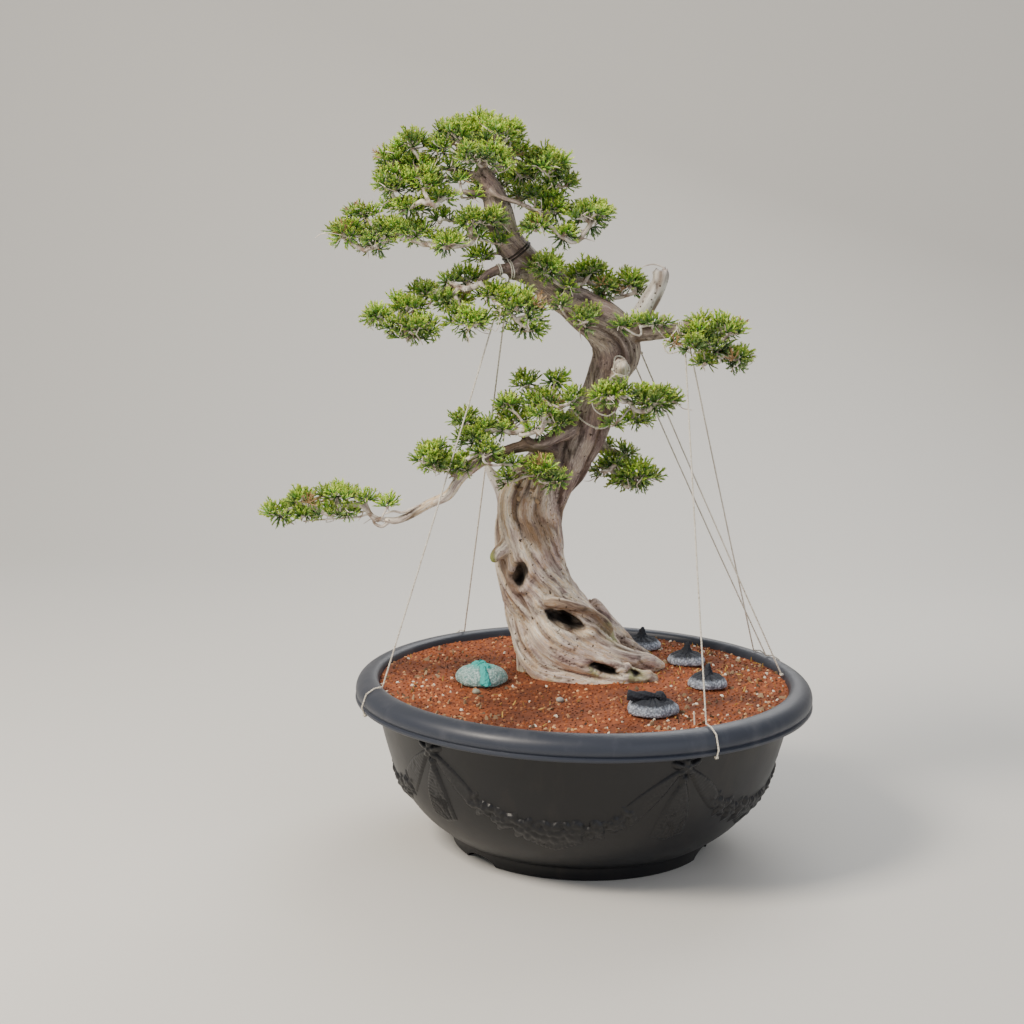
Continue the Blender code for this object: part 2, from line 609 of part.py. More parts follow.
# Foliage: each pad's lobes as centre x, y, z and half sizes x, y, z
PADS = {
    "apex": (
        (-153, -13, 799, 25, 34, 16), (-104, -27, 798, 29, 34, 17), (-129, 22, 805, 31, 30, 16),
        (-122, -54, 774, 30, 28, 16),
    ),
    "upper_left": ((-199, -27, 789, 18, 26, 11), (-222, -22, 771, 17, 26, 13), (-194, -5, 763, 20, 26, 12)),
    "crown_left": ((-218, -40, 745, 20, 28, 19), (-183, -44, 747, 24, 28, 17), (-166, -50, 732, 14, 20, 9)),
    "long_left": (
        (-254, -11, 713, 16, 22, 8), (-269, -27, 690, 21, 30, 13), (-235, -34, 689, 17, 34, 18),
        (-197, -38, 694, 21, 32, 14), (-160, -50, 684, 20, 28, 10), (-129, -56, 708, 21, 22, 12),
    ),
    "crown_right": ((-91, -5, 782, 18, 24, 11), (-53, -17, 768, 25, 36, 17), (-81, 13, 757, 20, 24, 10)),
    "long_right": (
        (-47, -5, 732, 15, 24, 8), (-5, -13, 714, 23, 36, 16), (-61, -34, 703, 17, 24, 11),
        (-31, -22, 694, 13, 24, 9),
    ),
    "small_left": ((-123, -22, 668, 13, 14, 9),),
    "middle_left": (
        (-138, -14, 645, 16, 24, 9), (-186, -11, 629, 14, 24, 8), (-204, -22, 613, 20, 32, 11),
        (-236, -28, 603, 14, 26, 9), (-196, -44, 592, 32, 28, 12), (-133, -54, 600, 24, 26, 15),
        (-76, -52, 612, 30, 24, 24),
    ),
    "shoulder": (
        (-55, 15, 657, 20, 22, 11), (-16, 23, 647, 12, 20, 9), (12, 25, 635, 15, 26, 16),
        (44, 29, 637, 15, 26, 16),
    ),
    "bend_sprig": ((-10, -36, 604, 15, 12, 10),),
    "jin_foot": ((65, -16, 600, 26, 12, 7),),
    "right": (
        (118, -18, 602, 10, 18, 7), (145, -28, 594, 19, 30, 14), (111, -44, 578, 13, 20, 9),
        (124, -36, 560, 13, 20, 9), (160, -30, 566, 15, 22, 9),
    ),
    "front_right": ((28, -46, 525, 20, 16, 10), (70, -30, 518, 28, 28, 12), (53, -11, 493, 18, 20, 8)),
    "centre_left": (
        (-72, -3, 530, 13, 20, 9), (-39, -11, 535, 13, 16, 7), (-19, -30, 518, 12, 12, 10),
        (-49, -40, 499, 16, 16, 7), (-91, -14, 506, 13, 22, 8), (-139, -16, 487, 14, 22, 10),
        (-129, -34, 469, 20, 24, 11), (-85, 3, 487, 20, 20, 12),
    ),
    "low_left": ((-173, -50, 450, 20, 30, 17), (-145, -38, 440, 20, 26, 10), (-115, -52, 457, 15, 16, 10)),
    "trunk_front": ((-50, -32, 433, 23, 14, 15), (-91, -18, 425, 10, 12, 11)),
    "back_right": (
        (18, 55, 451, 9, 12, 7), (42, 33, 448, 10, 16, 7), (53, 35, 423, 28, 30, 14), (16, 65, 424, 11, 14, 8),
    ),
    "long_branch": (
        (-337, -60, 387, 20, 26, 9), (-314, -56, 402, 16, 28, 9), (-276, -52, 407, 21, 30, 9),
        (-244, -54, 402, 10, 16, 7), (-220, -58, 397, 9, 10, 7),
    ),
    "crown_back": ((-111, 55, 748, 32, 18, 13), (-79, 43, 734, 20, 18, 10)),
    "middle_back": ((-65, 81, 649, 32, 20, 12), (-28, 73, 637, 18, 18, 10)),
    "lower_back": ((-14, 92, 471, 26, 20, 10),),
}
TUFTS_PER_AREA = 1 / 238.0
TWIG_BENDS = (
    (0, 0, 0), (0, -8, -8), (0, 8, -8), (0, -12, 6), (0, 12, 6), (0, 0, -16),
    (0, -20, 0), (0, 20, 0), (0, 0, 16), (0, -28, -6), (0, 28, -6), (12, -16, 8), (-12, -16, 8),
    (0, -14, 20), (0, 14, 20), (0, -36, 0), (0, 36, 0),
)


def ring_points(centre, way, towards, radius, turn=0.0):
    """Three points round a centre, square to a way, the first one nearest to a point given."""
    first = towards - centre
    first = first - way * np.dot(first, way)
    size = np.linalg.norm(first)
    first = first / size if size > 1e-6 else np.cross(way, (0.3, 0.5, 0.8))
    first /= np.linalg.norm(first)
    second = np.cross(way, first)
    return [centre + radius * (math.cos(turn + 2 * math.pi * k / 3) * first
                               + math.sin(turn + 2 * math.pi * k / 3) * second) for k in range(3)]


def tube_faces(low, high):
    """The six faces between two rings of three points."""
    faces = []
    for k in range(3):
        m = (k + 1) % 3
        faces.append((low[k], low[m], high[m]))
        faces.append((low[k], high[m], high[k]))
    return faces


class Sprig:
    """A branching body grown from a root ring, each new shoot in place of one triangle."""

    def __init__(self, root, way):
        self.points = ring_points(root, way, root + np.array((0.3, 0.5, 0.8)), TWIG_RADIUS + 0.5)
        self.faces = [(2, 1, 0)]
        self.feet = {(0, 1, 2)}
        self.surfaces = []

    def corner(self, face):
        return [self.points[i] for i in face]

    def grow(self, face, path, radii):
        """Takes a triangle off and grows a shoot along a path in its place."""
        self.feet.discard(face)
        ring = face
        for i, (place, radius) in enumerate(zip(path, radii)):
            before = path[i - 1] if i else sum(self.corner(ring)) / 3
            way = (place - before) / np.linalg.norm(place - before)
            count = len(self.points)
            self.points += ring_points(place, way, self.points[ring[0]], radius)
            high = (count, count + 1, count + 2)
            self.feet.update(tube_faces(ring, high))
            ring = high
        self.feet.add(ring)
        first = len(self.points) - 3 * len(path)
        self.surfaces.append((sum(path) / len(path), self.surface_from(first)))

    def surface_from(self, first):
        """The surface of the free triangles whose points came at or after a number."""
        faces = [f for f in self.feet if max(f) >= first]
        return BVHTree.FromPolygons([Vector(p) for p in self.points], faces)

    def foot_for(self, place, most):
        """The free triangles off the root that face a place, nearest first."""
        found = []
        for face in self.feet:
            if min(face) < 3:
                continue
            a, b, c = self.corner(face)
            middle = (a + b + c) / 3
            normal = np.cross(b - a, c - a)
            size = np.linalg.norm(normal)
            away = place - middle
            reach = np.linalg.norm(away)
            if size < 3.0 or reach < LEAST_STALK or np.dot(normal / size, away / reach) < 0.45:
                continue
            found.append((reach, face))
        return [face for _, face in sorted(found)[:most]]

    def add_tuft(self, face, points, faces):
        """Puts a tuft whose first three points are its stalk's foot in place of a triangle."""
        self.feet.discard(face)
        index = list(face) + [len(self.points) + k for k in range(len(points) - 3)]
        self.points += points[3:]
        self.faces += [tuple(index[i] for i in f) for f in faces]

    def shape(self):
        return self.points, self.faces + list(self.feet)


def tuft(foot, place, core, reach, rng):
    """Nine needles round a slim core on a three-sided stalk. The foot is the triangle it grows from."""
    middle = sum(foot) / 3
    way = (place - middle) / np.linalg.norm(place - middle)
    neck_place = place - way * core
    neck = ring_points(neck_place, way, foot[0], STALK_RADIUS)
    bent = way + np.array((0.0, 0.0, 0.25))
    bent /= np.linalg.norm(bent)
    belly = ring_points(place, bent, neck[0], core, math.pi / 3)
    top = place + bent * core
    points = list(foot) + neck + belly + [top]
    faces = tube_faces((0, 1, 2), (3, 4, 5))
    hub = []
    for k in range(3):
        m = (k + 1) % 3
        hub.append((3 + k, 3 + m, 6 + k))
        hub.append((3 + m, 6 + m, 6 + k))
        hub.append((6 + k, 6 + m, 9))
    heart = neck_place + way * core * HEART
    for face in hub:
        out = sum(points[i] for i in face) / 3 - heart
        out = out / np.linalg.norm(out)
        tip = len(points)
        points.append(heart + out * reach * rng.uniform(0.86, 1.04))
        for k in range(3):
            faces.append((face[k], face[(k + 1) % 3], tip))
    return points, faces


def scattered(lobe, count, rng):
    """Places spread through the upper shell of a lobe, no two of them close."""
    centre = np.array(lobe[:3], float)
    half = np.array(lobe[3:], float)
    places = []
    for _ in range(400):
        if len(places) == count:
            break
        way = np.array([rng.gauss(0, 1), rng.gauss(0, 1), rng.gauss(0.25, 1)])
        way /= np.linalg.norm(way)
        place = centre + way * half * rng.uniform(0.55, 1.0)
        if all(np.linalg.norm(place - other) > TUFT_SPACING for other in places):
            places.append(place)
    return places


def inside(centre, tree):
    """True where a point lies inside a closed surface, by the walls that a ray crosses."""
    way = Vector((0.21, 0.13, 0.97)).normalized()
    start = Vector(centre)
    crossed = 0
    while True:
        hit = tree.ray_cast(start, way)[0]
        if hit is None:
            return crossed % 2 == 1
        crossed += 1
        start = hit + way * 0.001


def blocked(shape, centre, trees):
    """True where a shape meets a surface, or its centre lies inside a body."""
    own = tree_of_shape(shape)
    return any(own.overlap(other) or inside(centre, other) for other in trees)


def shoot_surface(foot, path, radii):
    """A shoot with room round it, from a little off its foot, for finding what it would touch."""
    rows = [(*(sum(foot) / 3 * 0.75 + path[0] * 0.25), radii[0] + GAP)]
    rows += [(*place, radius + 2 * GAP) for place, radius in zip(path, radii)]
    return sweep(rows, 5, 1)


def tuft_that_fits(sprig, place, trees, rng):
    """The first foot and turn of a tuft that touches nothing, or None."""
    near = [tree for other, tree in sprig.surfaces if np.linalg.norm(other - place) < 4 * TUFT_REACH]
    for reach in (TUFT_REACH, 0.8 * TUFT_REACH):
        for face in sprig.foot_for(place, 5):
            foot = sprig.corner(face)
            seed = rng.random()
            lifted = [p + (place - sum(foot) / 3) * 0.16 for p in foot]
            middle = sum(lifted) / 3
            lifted = [middle + (p - middle) * 0.6 for p in lifted]
            points, faces = tuft(lifted, place, TUFT_CORE + 0.4, reach + 1.2, random.Random(seed))
            close = tree_of_shape((points, faces + [(2, 1, 0)]))
            if any(close.overlap(tree) for tree in near):
                continue
            if any(close.overlap(tree) or inside(place, tree) for tree in trees):
                continue
            points, faces = tuft(foot, place, TUFT_CORE, reach, random.Random(seed))
            return face, points, faces
    return None


def make_pad(name, lobes, number, trees, look):
    """Twigs from a branch end to each lobe, and a stalk and a tuft for each spray."""
    rng = random.Random(100 + number)
    branch = {"apex": TRUNK, "long_branch": BRANCHES["long"]}.get(name) or BRANCHES[name]
    end = np.array(branch[-1][:3], float)
    along = end - np.array(branch[-2][:3], float)
    along /= np.linalg.norm(along)
    root = end + along * 3 * GAP
    sprig = Sprig(root, along)
    leader = [root + along * LEADER_STEP * (k + 1) for k in range(2)]
    sprig.grow((0, 1, 2), leader, [TWIG_RADIUS, TWIG_RADIUS - 0.2])
    anchors = [np.array(lobe[:3], float) - np.array((0.0, 0.0, lobe[5] * 0.5)) for lobe in lobes]
    order = sorted(range(len(lobes)), key=lambda i: np.linalg.norm(anchors[i] - root))
    for i in order:
        lobe, anchor = lobes[i], anchors[i]
        feet = sprig.foot_for(anchor, 6)
        grown = False
        for face in feet:
            start = sum(sprig.corner(face)) / 3
            span = np.linalg.norm(anchor - start)
            count = max(2, round(span / TWIG_STEP))
            for bend in TWIG_BENDS:
                rows = [start, (start + anchor) / 2 + np.array(bend), anchor]
                line = smooth_path(rows, 40)
                path = [line[round((len(line) - 1) * (k + 1) / count)] for k in range(count)]
                radii = [TWIG_RADIUS - 0.4 * (k + 1) / count for k in range(count)]
                trial = shoot_surface(sprig.corner(face), path, radii)
                crossed = any(tree_of_shape(trial).overlap(tree) for _, tree in sprig.surfaces)
                if not crossed and not blocked(trial, anchor, trees):
                    sprig.grow(face, path, radii)
                    grown = True
                    break
            if grown:
                break
        if not grown:
            continue
        area = math.pi * (lobe[3] * lobe[4] + lobe[3] * lobe[5] + lobe[4] * lobe[5]) / 3
        places = scattered(lobe, max(2, round(area * TUFTS_PER_AREA)), rng)
        for place in sorted(places, key=lambda p: np.linalg.norm(p - anchor)):
            fitting = tuft_that_fits(sprig, place, trees, rng)
            if fitting:
                face, points, faces = fitting
                sprig.add_tuft(face, points, faces)
                sprig.surfaces.append((place, tree_of_shape((points, faces))))
    return object_of("foliage_" + name, sprig.shape(), look, smooth=False)


def main():
    clear_scene()
    plastic = material("pot_plastic", "2b2d33", 0.42)
    earth = material("soil_granules", "6f3a1f", 0.95)
    wood = material("juniper_wood", "b3a28c", 0.8)
    needles = material("juniper_foliage", "5b7d2c", 0.65)
    string = material("guy_string", "d8d2c4", 0.8)
    teal = material("pouch_teal", "4fa79a", 0.8)
    grey = material("pouch_grey", "8d9097", 0.85)
    wire = material("tie_wire", "4a4540", 0.6)

    pot = make_pot(plastic)
    soil = make_soil(earth)
    trunk = make_trunk(wood)
    made = [pot, soil, trunk]
    for name, place, radii, height, knot in POUCHES:
        made.append(make_pouch(name, place, radii, height, knot, teal if knot == "tail" else grey))
    trees = [tree_of(trunk)]
    bark = trees[0]
    for name, centre, axis, sag, reach in TIES:
        tie = make_tie(name, centre, axis, sag, reach, bark, wire if name == "upper_wire" else string)
        made.append(tie)
        trees.append(tree_of(tie))
    for name, top, azimuth, over in GUYS:
        cord, shape = make_cord(name, guy_route(top, azimuth, over), string)
        made.append(cord)
        trees.append(tree_of_shape(shape))
    for number, (name, lobes) in enumerate(PADS.items()):
        pad = make_pad(name, lobes, number, trees, needles)
        made.append(pad)
        trees.append(tree_of(pad))

    bpy.context.view_layer.update()
    corners = np.array([obj.matrix_world @ Vector(c) for obj in made for c in obj.bound_box])
    low, high = corners.min(axis=0), corners.max(axis=0)
    holder = bpy.data.objects.new("bonsai", None)
    bpy.context.scene.collection.objects.link(holder)
    for obj in made:
        obj.parent = holder
    holder.location = (-(low[0] + high[0]) / 2, -(low[1] + high[1]) / 2, -low[2])


main()
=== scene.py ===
"""Looks of a shimpaku juniper bonsai that strings hold down in a round plastic training pot.

Lengths are in millimetres from the pot's axis and the floor, with x to the right and y away
from the front. placed() turns them into the frame's metres.
"""

import json
import math
import random

import bmesh
import bpy
import numpy as np
from mathutils import Matrix, Vector
from mathutils.bvhtree import BVHTree

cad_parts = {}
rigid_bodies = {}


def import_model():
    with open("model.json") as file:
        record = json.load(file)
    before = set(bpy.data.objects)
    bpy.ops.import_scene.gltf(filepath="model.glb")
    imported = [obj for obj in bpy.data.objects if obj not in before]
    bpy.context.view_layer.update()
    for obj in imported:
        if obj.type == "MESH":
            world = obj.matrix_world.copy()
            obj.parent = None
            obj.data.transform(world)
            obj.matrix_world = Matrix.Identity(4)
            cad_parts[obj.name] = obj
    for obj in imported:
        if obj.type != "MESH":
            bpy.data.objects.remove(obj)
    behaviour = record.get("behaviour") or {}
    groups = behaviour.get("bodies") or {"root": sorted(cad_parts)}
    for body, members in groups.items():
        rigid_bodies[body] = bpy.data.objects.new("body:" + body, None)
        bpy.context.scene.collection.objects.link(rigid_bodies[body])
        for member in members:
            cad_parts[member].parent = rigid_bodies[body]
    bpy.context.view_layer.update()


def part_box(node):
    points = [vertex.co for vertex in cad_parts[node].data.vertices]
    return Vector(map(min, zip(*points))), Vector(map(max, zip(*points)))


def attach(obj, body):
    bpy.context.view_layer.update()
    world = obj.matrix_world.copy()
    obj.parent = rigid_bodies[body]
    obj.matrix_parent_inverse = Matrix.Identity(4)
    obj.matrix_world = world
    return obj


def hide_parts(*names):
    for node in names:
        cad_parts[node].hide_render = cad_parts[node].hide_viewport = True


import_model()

MM = 0.001
pot_low, pot_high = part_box("pot")
POT_AXIS = np.array(((pot_low[0] + pot_high[0]) / 2, (pot_low[1] + pot_high[1]) / 2, 0.0))


def placed(points):
    """Millimetres from the pot's axis as metres in the frame."""
    return POT_AXIS + np.asarray(points, float) * MM


def new_object(name, data):
    """An object of the data given, linked to the scene."""
    made = bpy.data.objects.new(name, data)
    bpy.context.scene.collection.objects.link(made)
    return made


# Camera
# The view is the photograph's: a long lens a little above the rim, turned slightly to the left.
CAMERA_PLACE = (0.0, -2240.95, 776.46)
CAMERA_YAW = math.radians(-2.1768)
CAMERA_PITCH = math.radians(-10.0409)
CAMERA_ROLL = math.radians(1.0)
CAMERA_LENS = 71.05

forward = Vector((math.sin(CAMERA_YAW) * math.cos(CAMERA_PITCH),
                  math.cos(CAMERA_YAW) * math.cos(CAMERA_PITCH), math.sin(CAMERA_PITCH)))
level_right = forward.cross(Vector((0, 0, 1))).normalized()
level_up = level_right.cross(forward)
right = level_right * math.cos(CAMERA_ROLL) + level_up * math.sin(CAMERA_ROLL)
up = level_up * math.cos(CAMERA_ROLL) - level_right * math.sin(CAMERA_ROLL)
camera_data = bpy.data.cameras.new("camera")
camera_data.lens = CAMERA_LENS
camera_data.sensor_width = 36.0
camera = new_object("camera", camera_data)
camera.matrix_world = Matrix.Translation(placed(CAMERA_PLACE)) @ Matrix(
    (right, up, -forward)).transposed().to_4x4()
bpy.context.scene.camera = camera


# Light and floor
# A broad soft light stands high to the left of the front, a weaker one to the right, and one
# behind lifts the outline. The floor is plain and pale, and curves up behind the tree.
def linear(code):
    """An sRGB hex colour as linear values with full alpha."""
    parts = [int(code[i:i + 2], 16) / 255 for i in (0, 2, 4)]
    return (*[c / 12.92 if c <= 0.04045 else ((c + 0.055) / 1.055) ** 2.4 for c in parts], 1.0)


def add(tree, kind, settings=None, links=None):
    """A new node. Lower-case settings are its own, the others are its sockets' values."""
    made = tree.nodes.new(kind)
    for key, value in (settings or {}).items():
        if isinstance(key, str) and hasattr(made, key):
            setattr(made, key, value)
        else:
            made.inputs[key].default_value = value
    for key, source in (links or {}).items():
        tree.links.new(source, made.inputs[key])
    return made


class Look:
    """A Principled material and the nodes that drive it. A value is a number or a socket."""

    def __init__(self, name, **settings):
        self.material = bpy.data.materials.new(name)
        self.material.use_nodes = True
        self.tree = self.material.node_tree
        self.tree.nodes.clear()
        self.shader = self.add("ShaderNodeBsdfPrincipled",
                               {key.replace("_", " "): value for key, value in settings.items()})
        self.add("ShaderNodeOutputMaterial", links={"Surface": self.shader.outputs["BSDF"]})

    def add(self, kind, settings=None, links=None):
        """A new node of this material."""
        return add(self.tree, kind, settings, links)

    def place(self):
        """Where each point lies, in the object's own axes."""
        return self.add("ShaderNodeTexCoord").outputs["Object"]

    def value(self, name, kind="Fac"):
        """What the mesh holds for each point under a name."""
        return self.add("ShaderNodeAttribute", {"attribute_name": name}).outputs[kind]

    def noise(self, scale, detail, place=None, **more):
        """Cloudy noise from 0 to 1, in the object's own axes or along another place."""
        place = self.place() if place is None else place
        return self.add("ShaderNodeTexNoise", {"Scale": scale, "Detail": detail, **more},
                        {"Vector": place}).outputs["Fac"]

    def ranged(self, value, low, high, to_low=0.0, to_high=1.0):
        """A value taken from one range to another and held inside it."""
        ends = {"From Min": low, "From Max": high, "To Min": to_low, "To Max": to_high}
        return self.add("ShaderNodeMapRange", ends, {"Value": value}).outputs[0]

    def maths(self, operation, *values, clamp=False):
        """Two or three values combined."""
        settings, links = {"operation": operation, "use_clamp": clamp}, {}
        for key, value in enumerate(values):
            (settings if isinstance(value, float) else links)[key] = value
        return self.add("ShaderNodeMath", settings, links).outputs[0]

    def mixed(self, share, one, other, blend="MIX"):
        """A colour between two, each a hex code or a socket."""
        settings, links = {"data_type": "RGBA", "blend_type": blend}, {0: share}
        for key, colour in ((6, one), (7, other)):
            if isinstance(colour, str):
                settings[key] = linear(colour)
            else:
                links[key] = colour
        return self.add("ShaderNodeMix", settings, links).outputs[2]

    def ramp(self, value, *stops):
        """A colour that runs through stops of place and hex code."""
        made = self.add("ShaderNodeValToRGB", links={0: value})
        elements = made.color_ramp.elements
        for element, (spot, code) in zip(elements, (stops[0], stops[-1])):
            element.position = spot
            element.color = linear(code)
        for spot, code in stops[1:-1]:
            elements.new(spot).color = linear(code)
        return made.outputs[0]

    def scaled(self, colour, by):
        """A colour made brighter or darker by a value."""
        return self.add("ShaderNodeVectorMath", {"operation": "SCALE"}, {0: colour, "Scale": by}).outputs[0]

    def drive(self, name, source):
        """Links a socket to one of the shader's inputs."""
        self.tree.links.new(source, self.shader.inputs[name])

    def bump(self, height, strength, distance):
        """Raises the surface by a height, over a distance in metres."""
        made = self.add("ShaderNodeBump", {"Strength": strength, "Distance": distance}, {"Height": height})
        self.drive("Normal", made.outputs[0])


def store(mesh, values):
    """Gives a mesh a value or a vector a point under each name."""
    for key, data in values.items():
        data = np.asarray(data, np.float32)
        kind, field = ("FLOAT", "value") if data.ndim == 1 else ("FLOAT_VECTOR", "vector")
        mesh.attributes.new(key, kind, "POINT").data.foreach_set(field, data.ravel())


def solid(name, points, faces, look, values=None):
    """A smooth object of points in millimetres, with values a point under the names given."""
    mesh = bpy.data.meshes.new(name)
    mesh.from_pydata(placed(points).tolist(), [], [tuple(map(int, face)) for face in faces])
    store(mesh, values or {})
    mesh.materials.append(look.material)
    mesh.shade_smooth()
    return new_object(name, mesh)


def grid_faces(rows, columns, closed=True):
    """Faces between neighbouring rows of points, closed round the columns or not."""
    faces = []
    for i in range(rows - 1):
        for k in range(columns if closed else columns - 1):
            m = (k + 1) % columns
            low, high = i * columns, (i + 1) * columns
            faces.append((low + k, low + m, high + m, high + k))
    return faces


def capped_faces(rows, columns):
    """Faces between neighbouring rings of points, with both ends closed."""
    last = (rows - 1) * columns
    caps = [tuple(range(columns - 1, -1, -1)), tuple(range(last, last + columns))]
    return grid_faces(rows, columns) + caps


SOFT_LIGHTS = (
    ("key_light", (-1450, -1050, 1950), 750.0, 74.0, "fff4e4"),
    ("fill_light", (1300, -1500, 900), 1500.0, 7.0, "eef3ff"),
    ("back_light", (500, 1500, 1700), 1300.0, 26.0, "ffffff"),
)
AIM = (0, 0, 420)
for name, place, width, power, tone in SOFT_LIGHTS:
    light_data = bpy.data.lights.new(name, "AREA")
    light_data.size = width * MM
    light_data.energy = power
    light_data.color = linear(tone)[:3]
    light = new_object(name, light_data)
    light.location = placed(place)
    aim = Vector(placed(AIM)) - light.location
    light.rotation_euler = aim.to_track_quat("-Z", "Y").to_euler()

world = bpy.data.worlds.new("studio")
bpy.context.scene.world = world
world.use_nodes = True
world.node_tree.nodes["Background"].inputs["Color"].default_value = linear("e9eaec")
world.node_tree.nodes["Background"].inputs["Strength"].default_value = 0.55

FLOOR_HALF = 4000.0
FLOOR_LEVEL = -0.4
SWEEP_FROM, SWEEP_RADIUS = 1500.0, 900.0
floor_look = Look("pale_floor", Base_Color=linear("dddbd6"), Roughness=0.9)
sweep_line = [(-FLOOR_HALF, FLOOR_LEVEL), (SWEEP_FROM, FLOOR_LEVEL)]
for k in range(1, 13):
    angle = math.pi * k / 24
    sweep_line.append((SWEEP_FROM + SWEEP_RADIUS * math.sin(angle),
                       SWEEP_RADIUS - (SWEEP_RADIUS - FLOOR_LEVEL) * math.cos(angle)))
sweep_line.append((SWEEP_FROM + SWEEP_RADIUS, FLOOR_HALF))
floor = solid("floor", [(x, y, z) for y, z in sweep_line for x in (-FLOOR_HALF, FLOOR_HALF)],
              grid_faces(len(sweep_line), 2, closed=False), floor_look)


# Pot
# A bowl moulded in one piece from black polypropylene, with a fat rolled rim over a thin lip,
# a foot ring with arched notches, and garlands of fruit and flowers hung between tassels.
def rounded(rows, steps):
    """Rows of numbers along a Catmull-Rom curve through the rows given."""
    rows = np.array(rows, float)
    ends = np.vstack([2 * rows[0] - rows[1], rows, 2 * rows[-1] - rows[-2]])
    out = []
    for i in range(1, len(ends) - 2):
        a, b, c, d = ends[i - 1:i + 3]
        for k in range(steps):
            t = k / steps
            out.append(0.5 * (2 * b + (c - a) * t + (2 * a - 5 * b + 4 * c - d) * t * t
                              + (3 * b - a - 3 * c + d) * t ** 3))
    out.append(rows[-1])
    return np.array(out)


def turned_body(outline, sides):
    """Points and faces of a closed body turned round the pot's axis from its outline."""
    outline = np.array(outline, float)
    angles = 2 * np.pi * np.arange(sides) / sides
    points = np.stack([np.outer(outline[:, 0], np.sin(angles)),
                       -np.outer(outline[:, 0], np.cos(angles)),
                       np.repeat(outline[:, 1:2], sides, axis=1)], axis=2).reshape(-1, 3)
    faces = grid_faces(len(outline), sides)
    first, last = len(points), len(points) + 1
    points = np.vstack([points, (0, 0, outline[0, 1]), (0, 0, outline[-1, 1])])
    top = (len(outline) - 1) * sides
    for k in range(sides):
        m = (k + 1) % sides
        faces.append((first, m, k))
        faces.append((last, top + k, top + m))
    return points, faces


def cut_away(body, shapes):
    """Takes closed shapes, in millimetres, away from an object."""
    group = bpy.data.collections.new("cutters")
    bpy.context.scene.collection.children.link(group)
    for points, faces in shapes:
        mesh = bpy.data.meshes.new("cutter")
        mesh.from_pydata(placed(points).tolist(), [], faces)
        group.objects.link(bpy.data.objects.new("cutter", mesh))
    boolean = body.modifiers.new("cuts", "BOOLEAN")
    boolean.operation = "DIFFERENCE"
    boolean.operand_type = "COLLECTION"
    boolean.collection = group
    boolean.solver = "MANIFOLD"
    applied(body)
    discard(group)


def discard(group):
    """Removes a collection with all that is in it."""
    for one in list(group.objects):
        bpy.data.objects.remove(one, do_unlink=True)
    bpy.data.collections.remove(group)


def evaluated_mesh(body):
    """A new mesh of what the object's modifiers make."""
    bpy.context.view_layer.update()
    return bpy.data.meshes.new_from_object(body.evaluated_get(bpy.context.evaluated_depsgraph_get()))


def applied(body):
    """Turns what the object's modifiers make into its own mesh."""
    look = list(body.data.materials)
    made = evaluated_mesh(body)
    body.modifiers.clear()
    old = body.data
    body.data = made
    bpy.data.meshes.remove(old)
    made.name = body.name
    if not len(made.materials):
        for one in look:
            made.materials.append(one)


POT_SIDES = 192
POT_WALL = ((151.5, 16.4), (165.0, 25.0), (184.0, 41.0), (202.0, 64.0),
            (216.0, 92.0), (227.5, 129.0), (236.0, 166.0))
POT_FOOT = ((138.0, 17.0), (138.0, 0.7), (138.7, 0.0), (145.6, 0.0), (146.5, 0.9), (147.2, 12.6),
            (147.9, 14.6), (149.3, 15.2))
POT_LIP = ((240.0, 167.2), (255.5, 166.9), (258.6, 167.3), (259.8, 168.8), (259.6, 170.7),
           (258.2, 171.6))
POT_RIM = ((257.2, 172.4), (259.2, 175.8), (259.0, 181.0), (256.4, 186.6), (251.3, 190.9),
           (245.0, 193.4), (239.0, 193.4), (235.0, 191.3), (233.3, 188.0))
POT_INSIDE = ((231.0, 167.0), (210.0, 93.0), (181.0, 48.0), (146.0, 22.0))
FOOT_NOTCHES = (-49.0, 71.0, 191.0)
NOTCH_HALF_WIDTH, NOTCH_HEIGHT = 25.0, 8.0
DRAINS = (30.0, 150.0, 270.0)
DRAIN_CENTRE, DRAIN_RADIUS, DRAIN_SIDES = 85.0, 9.0, 24

wall_line = rounded(POT_WALL, 6)
pot_outline = [*POT_FOOT, *wall_line, *POT_LIP, *rounded(POT_RIM, 4), *POT_INSIDE]
pot_points, pot_faces = turned_body(pot_outline, POT_SIDES)

# The relief is made of bumps, each a place along the wall, a height, two half sizes, a turn and
# how far it stands out.
ROUND_THE_WALL = 2 * math.pi * 222.0
KNOTS = (-44.0, 28.0, 100.0, 172.0, 244.0)
KNOT_LEVEL = 150.0
SWAG_LOW = 80.0
SWAG_CORDS, TASSEL_CORDS, FRINGE_CORDS = 9, 13, 13
FRUIT_GROUPS = 16
FLOWERS = ((0.22, 8.5), (0.30, 10.0), (0.40, 13.5), (0.49, 14.5), (0.58, 13.0), (0.67, 10.0), (0.75, 8.0))
BUMP_STEP = 4.5
bumps = []


def rosette(along, level, size, petals, turn, proud):
    """A flower of round petals with a raised middle."""
    for petal in range(petals):
        angle = turn + 2 * math.pi * petal / petals
        bumps.append((along + 0.62 * size * math.cos(angle), level + 0.62 * size * math.sin(angle),
                      0.52 * size, 0.36 * size, angle, proud))
    bumps.append((along, level, 0.34 * size, 0.34 * size, 0, proud + 1.2))


def strand(start, end, bow, width, proud):
    """A thin raised cord between two places, bowed to one side."""
    start, end = np.array(start, float), np.array(end, float)
    across = np.array((start[1] - end[1], end[0] - start[0]))
    length = np.linalg.norm(end - start)
    steps = max(3, round(length / BUMP_STEP))
    for k in range(steps):
        t = (k + 0.5) / steps
        spot = start + (end - start) * t + across * bow * 4 * t * (1 - t)
        way = end - start + across * bow * 4 * (1 - 2 * t)
        bumps.append((*spot, 0.72 * length / steps, width, math.atan2(way[1], way[0]), proud))


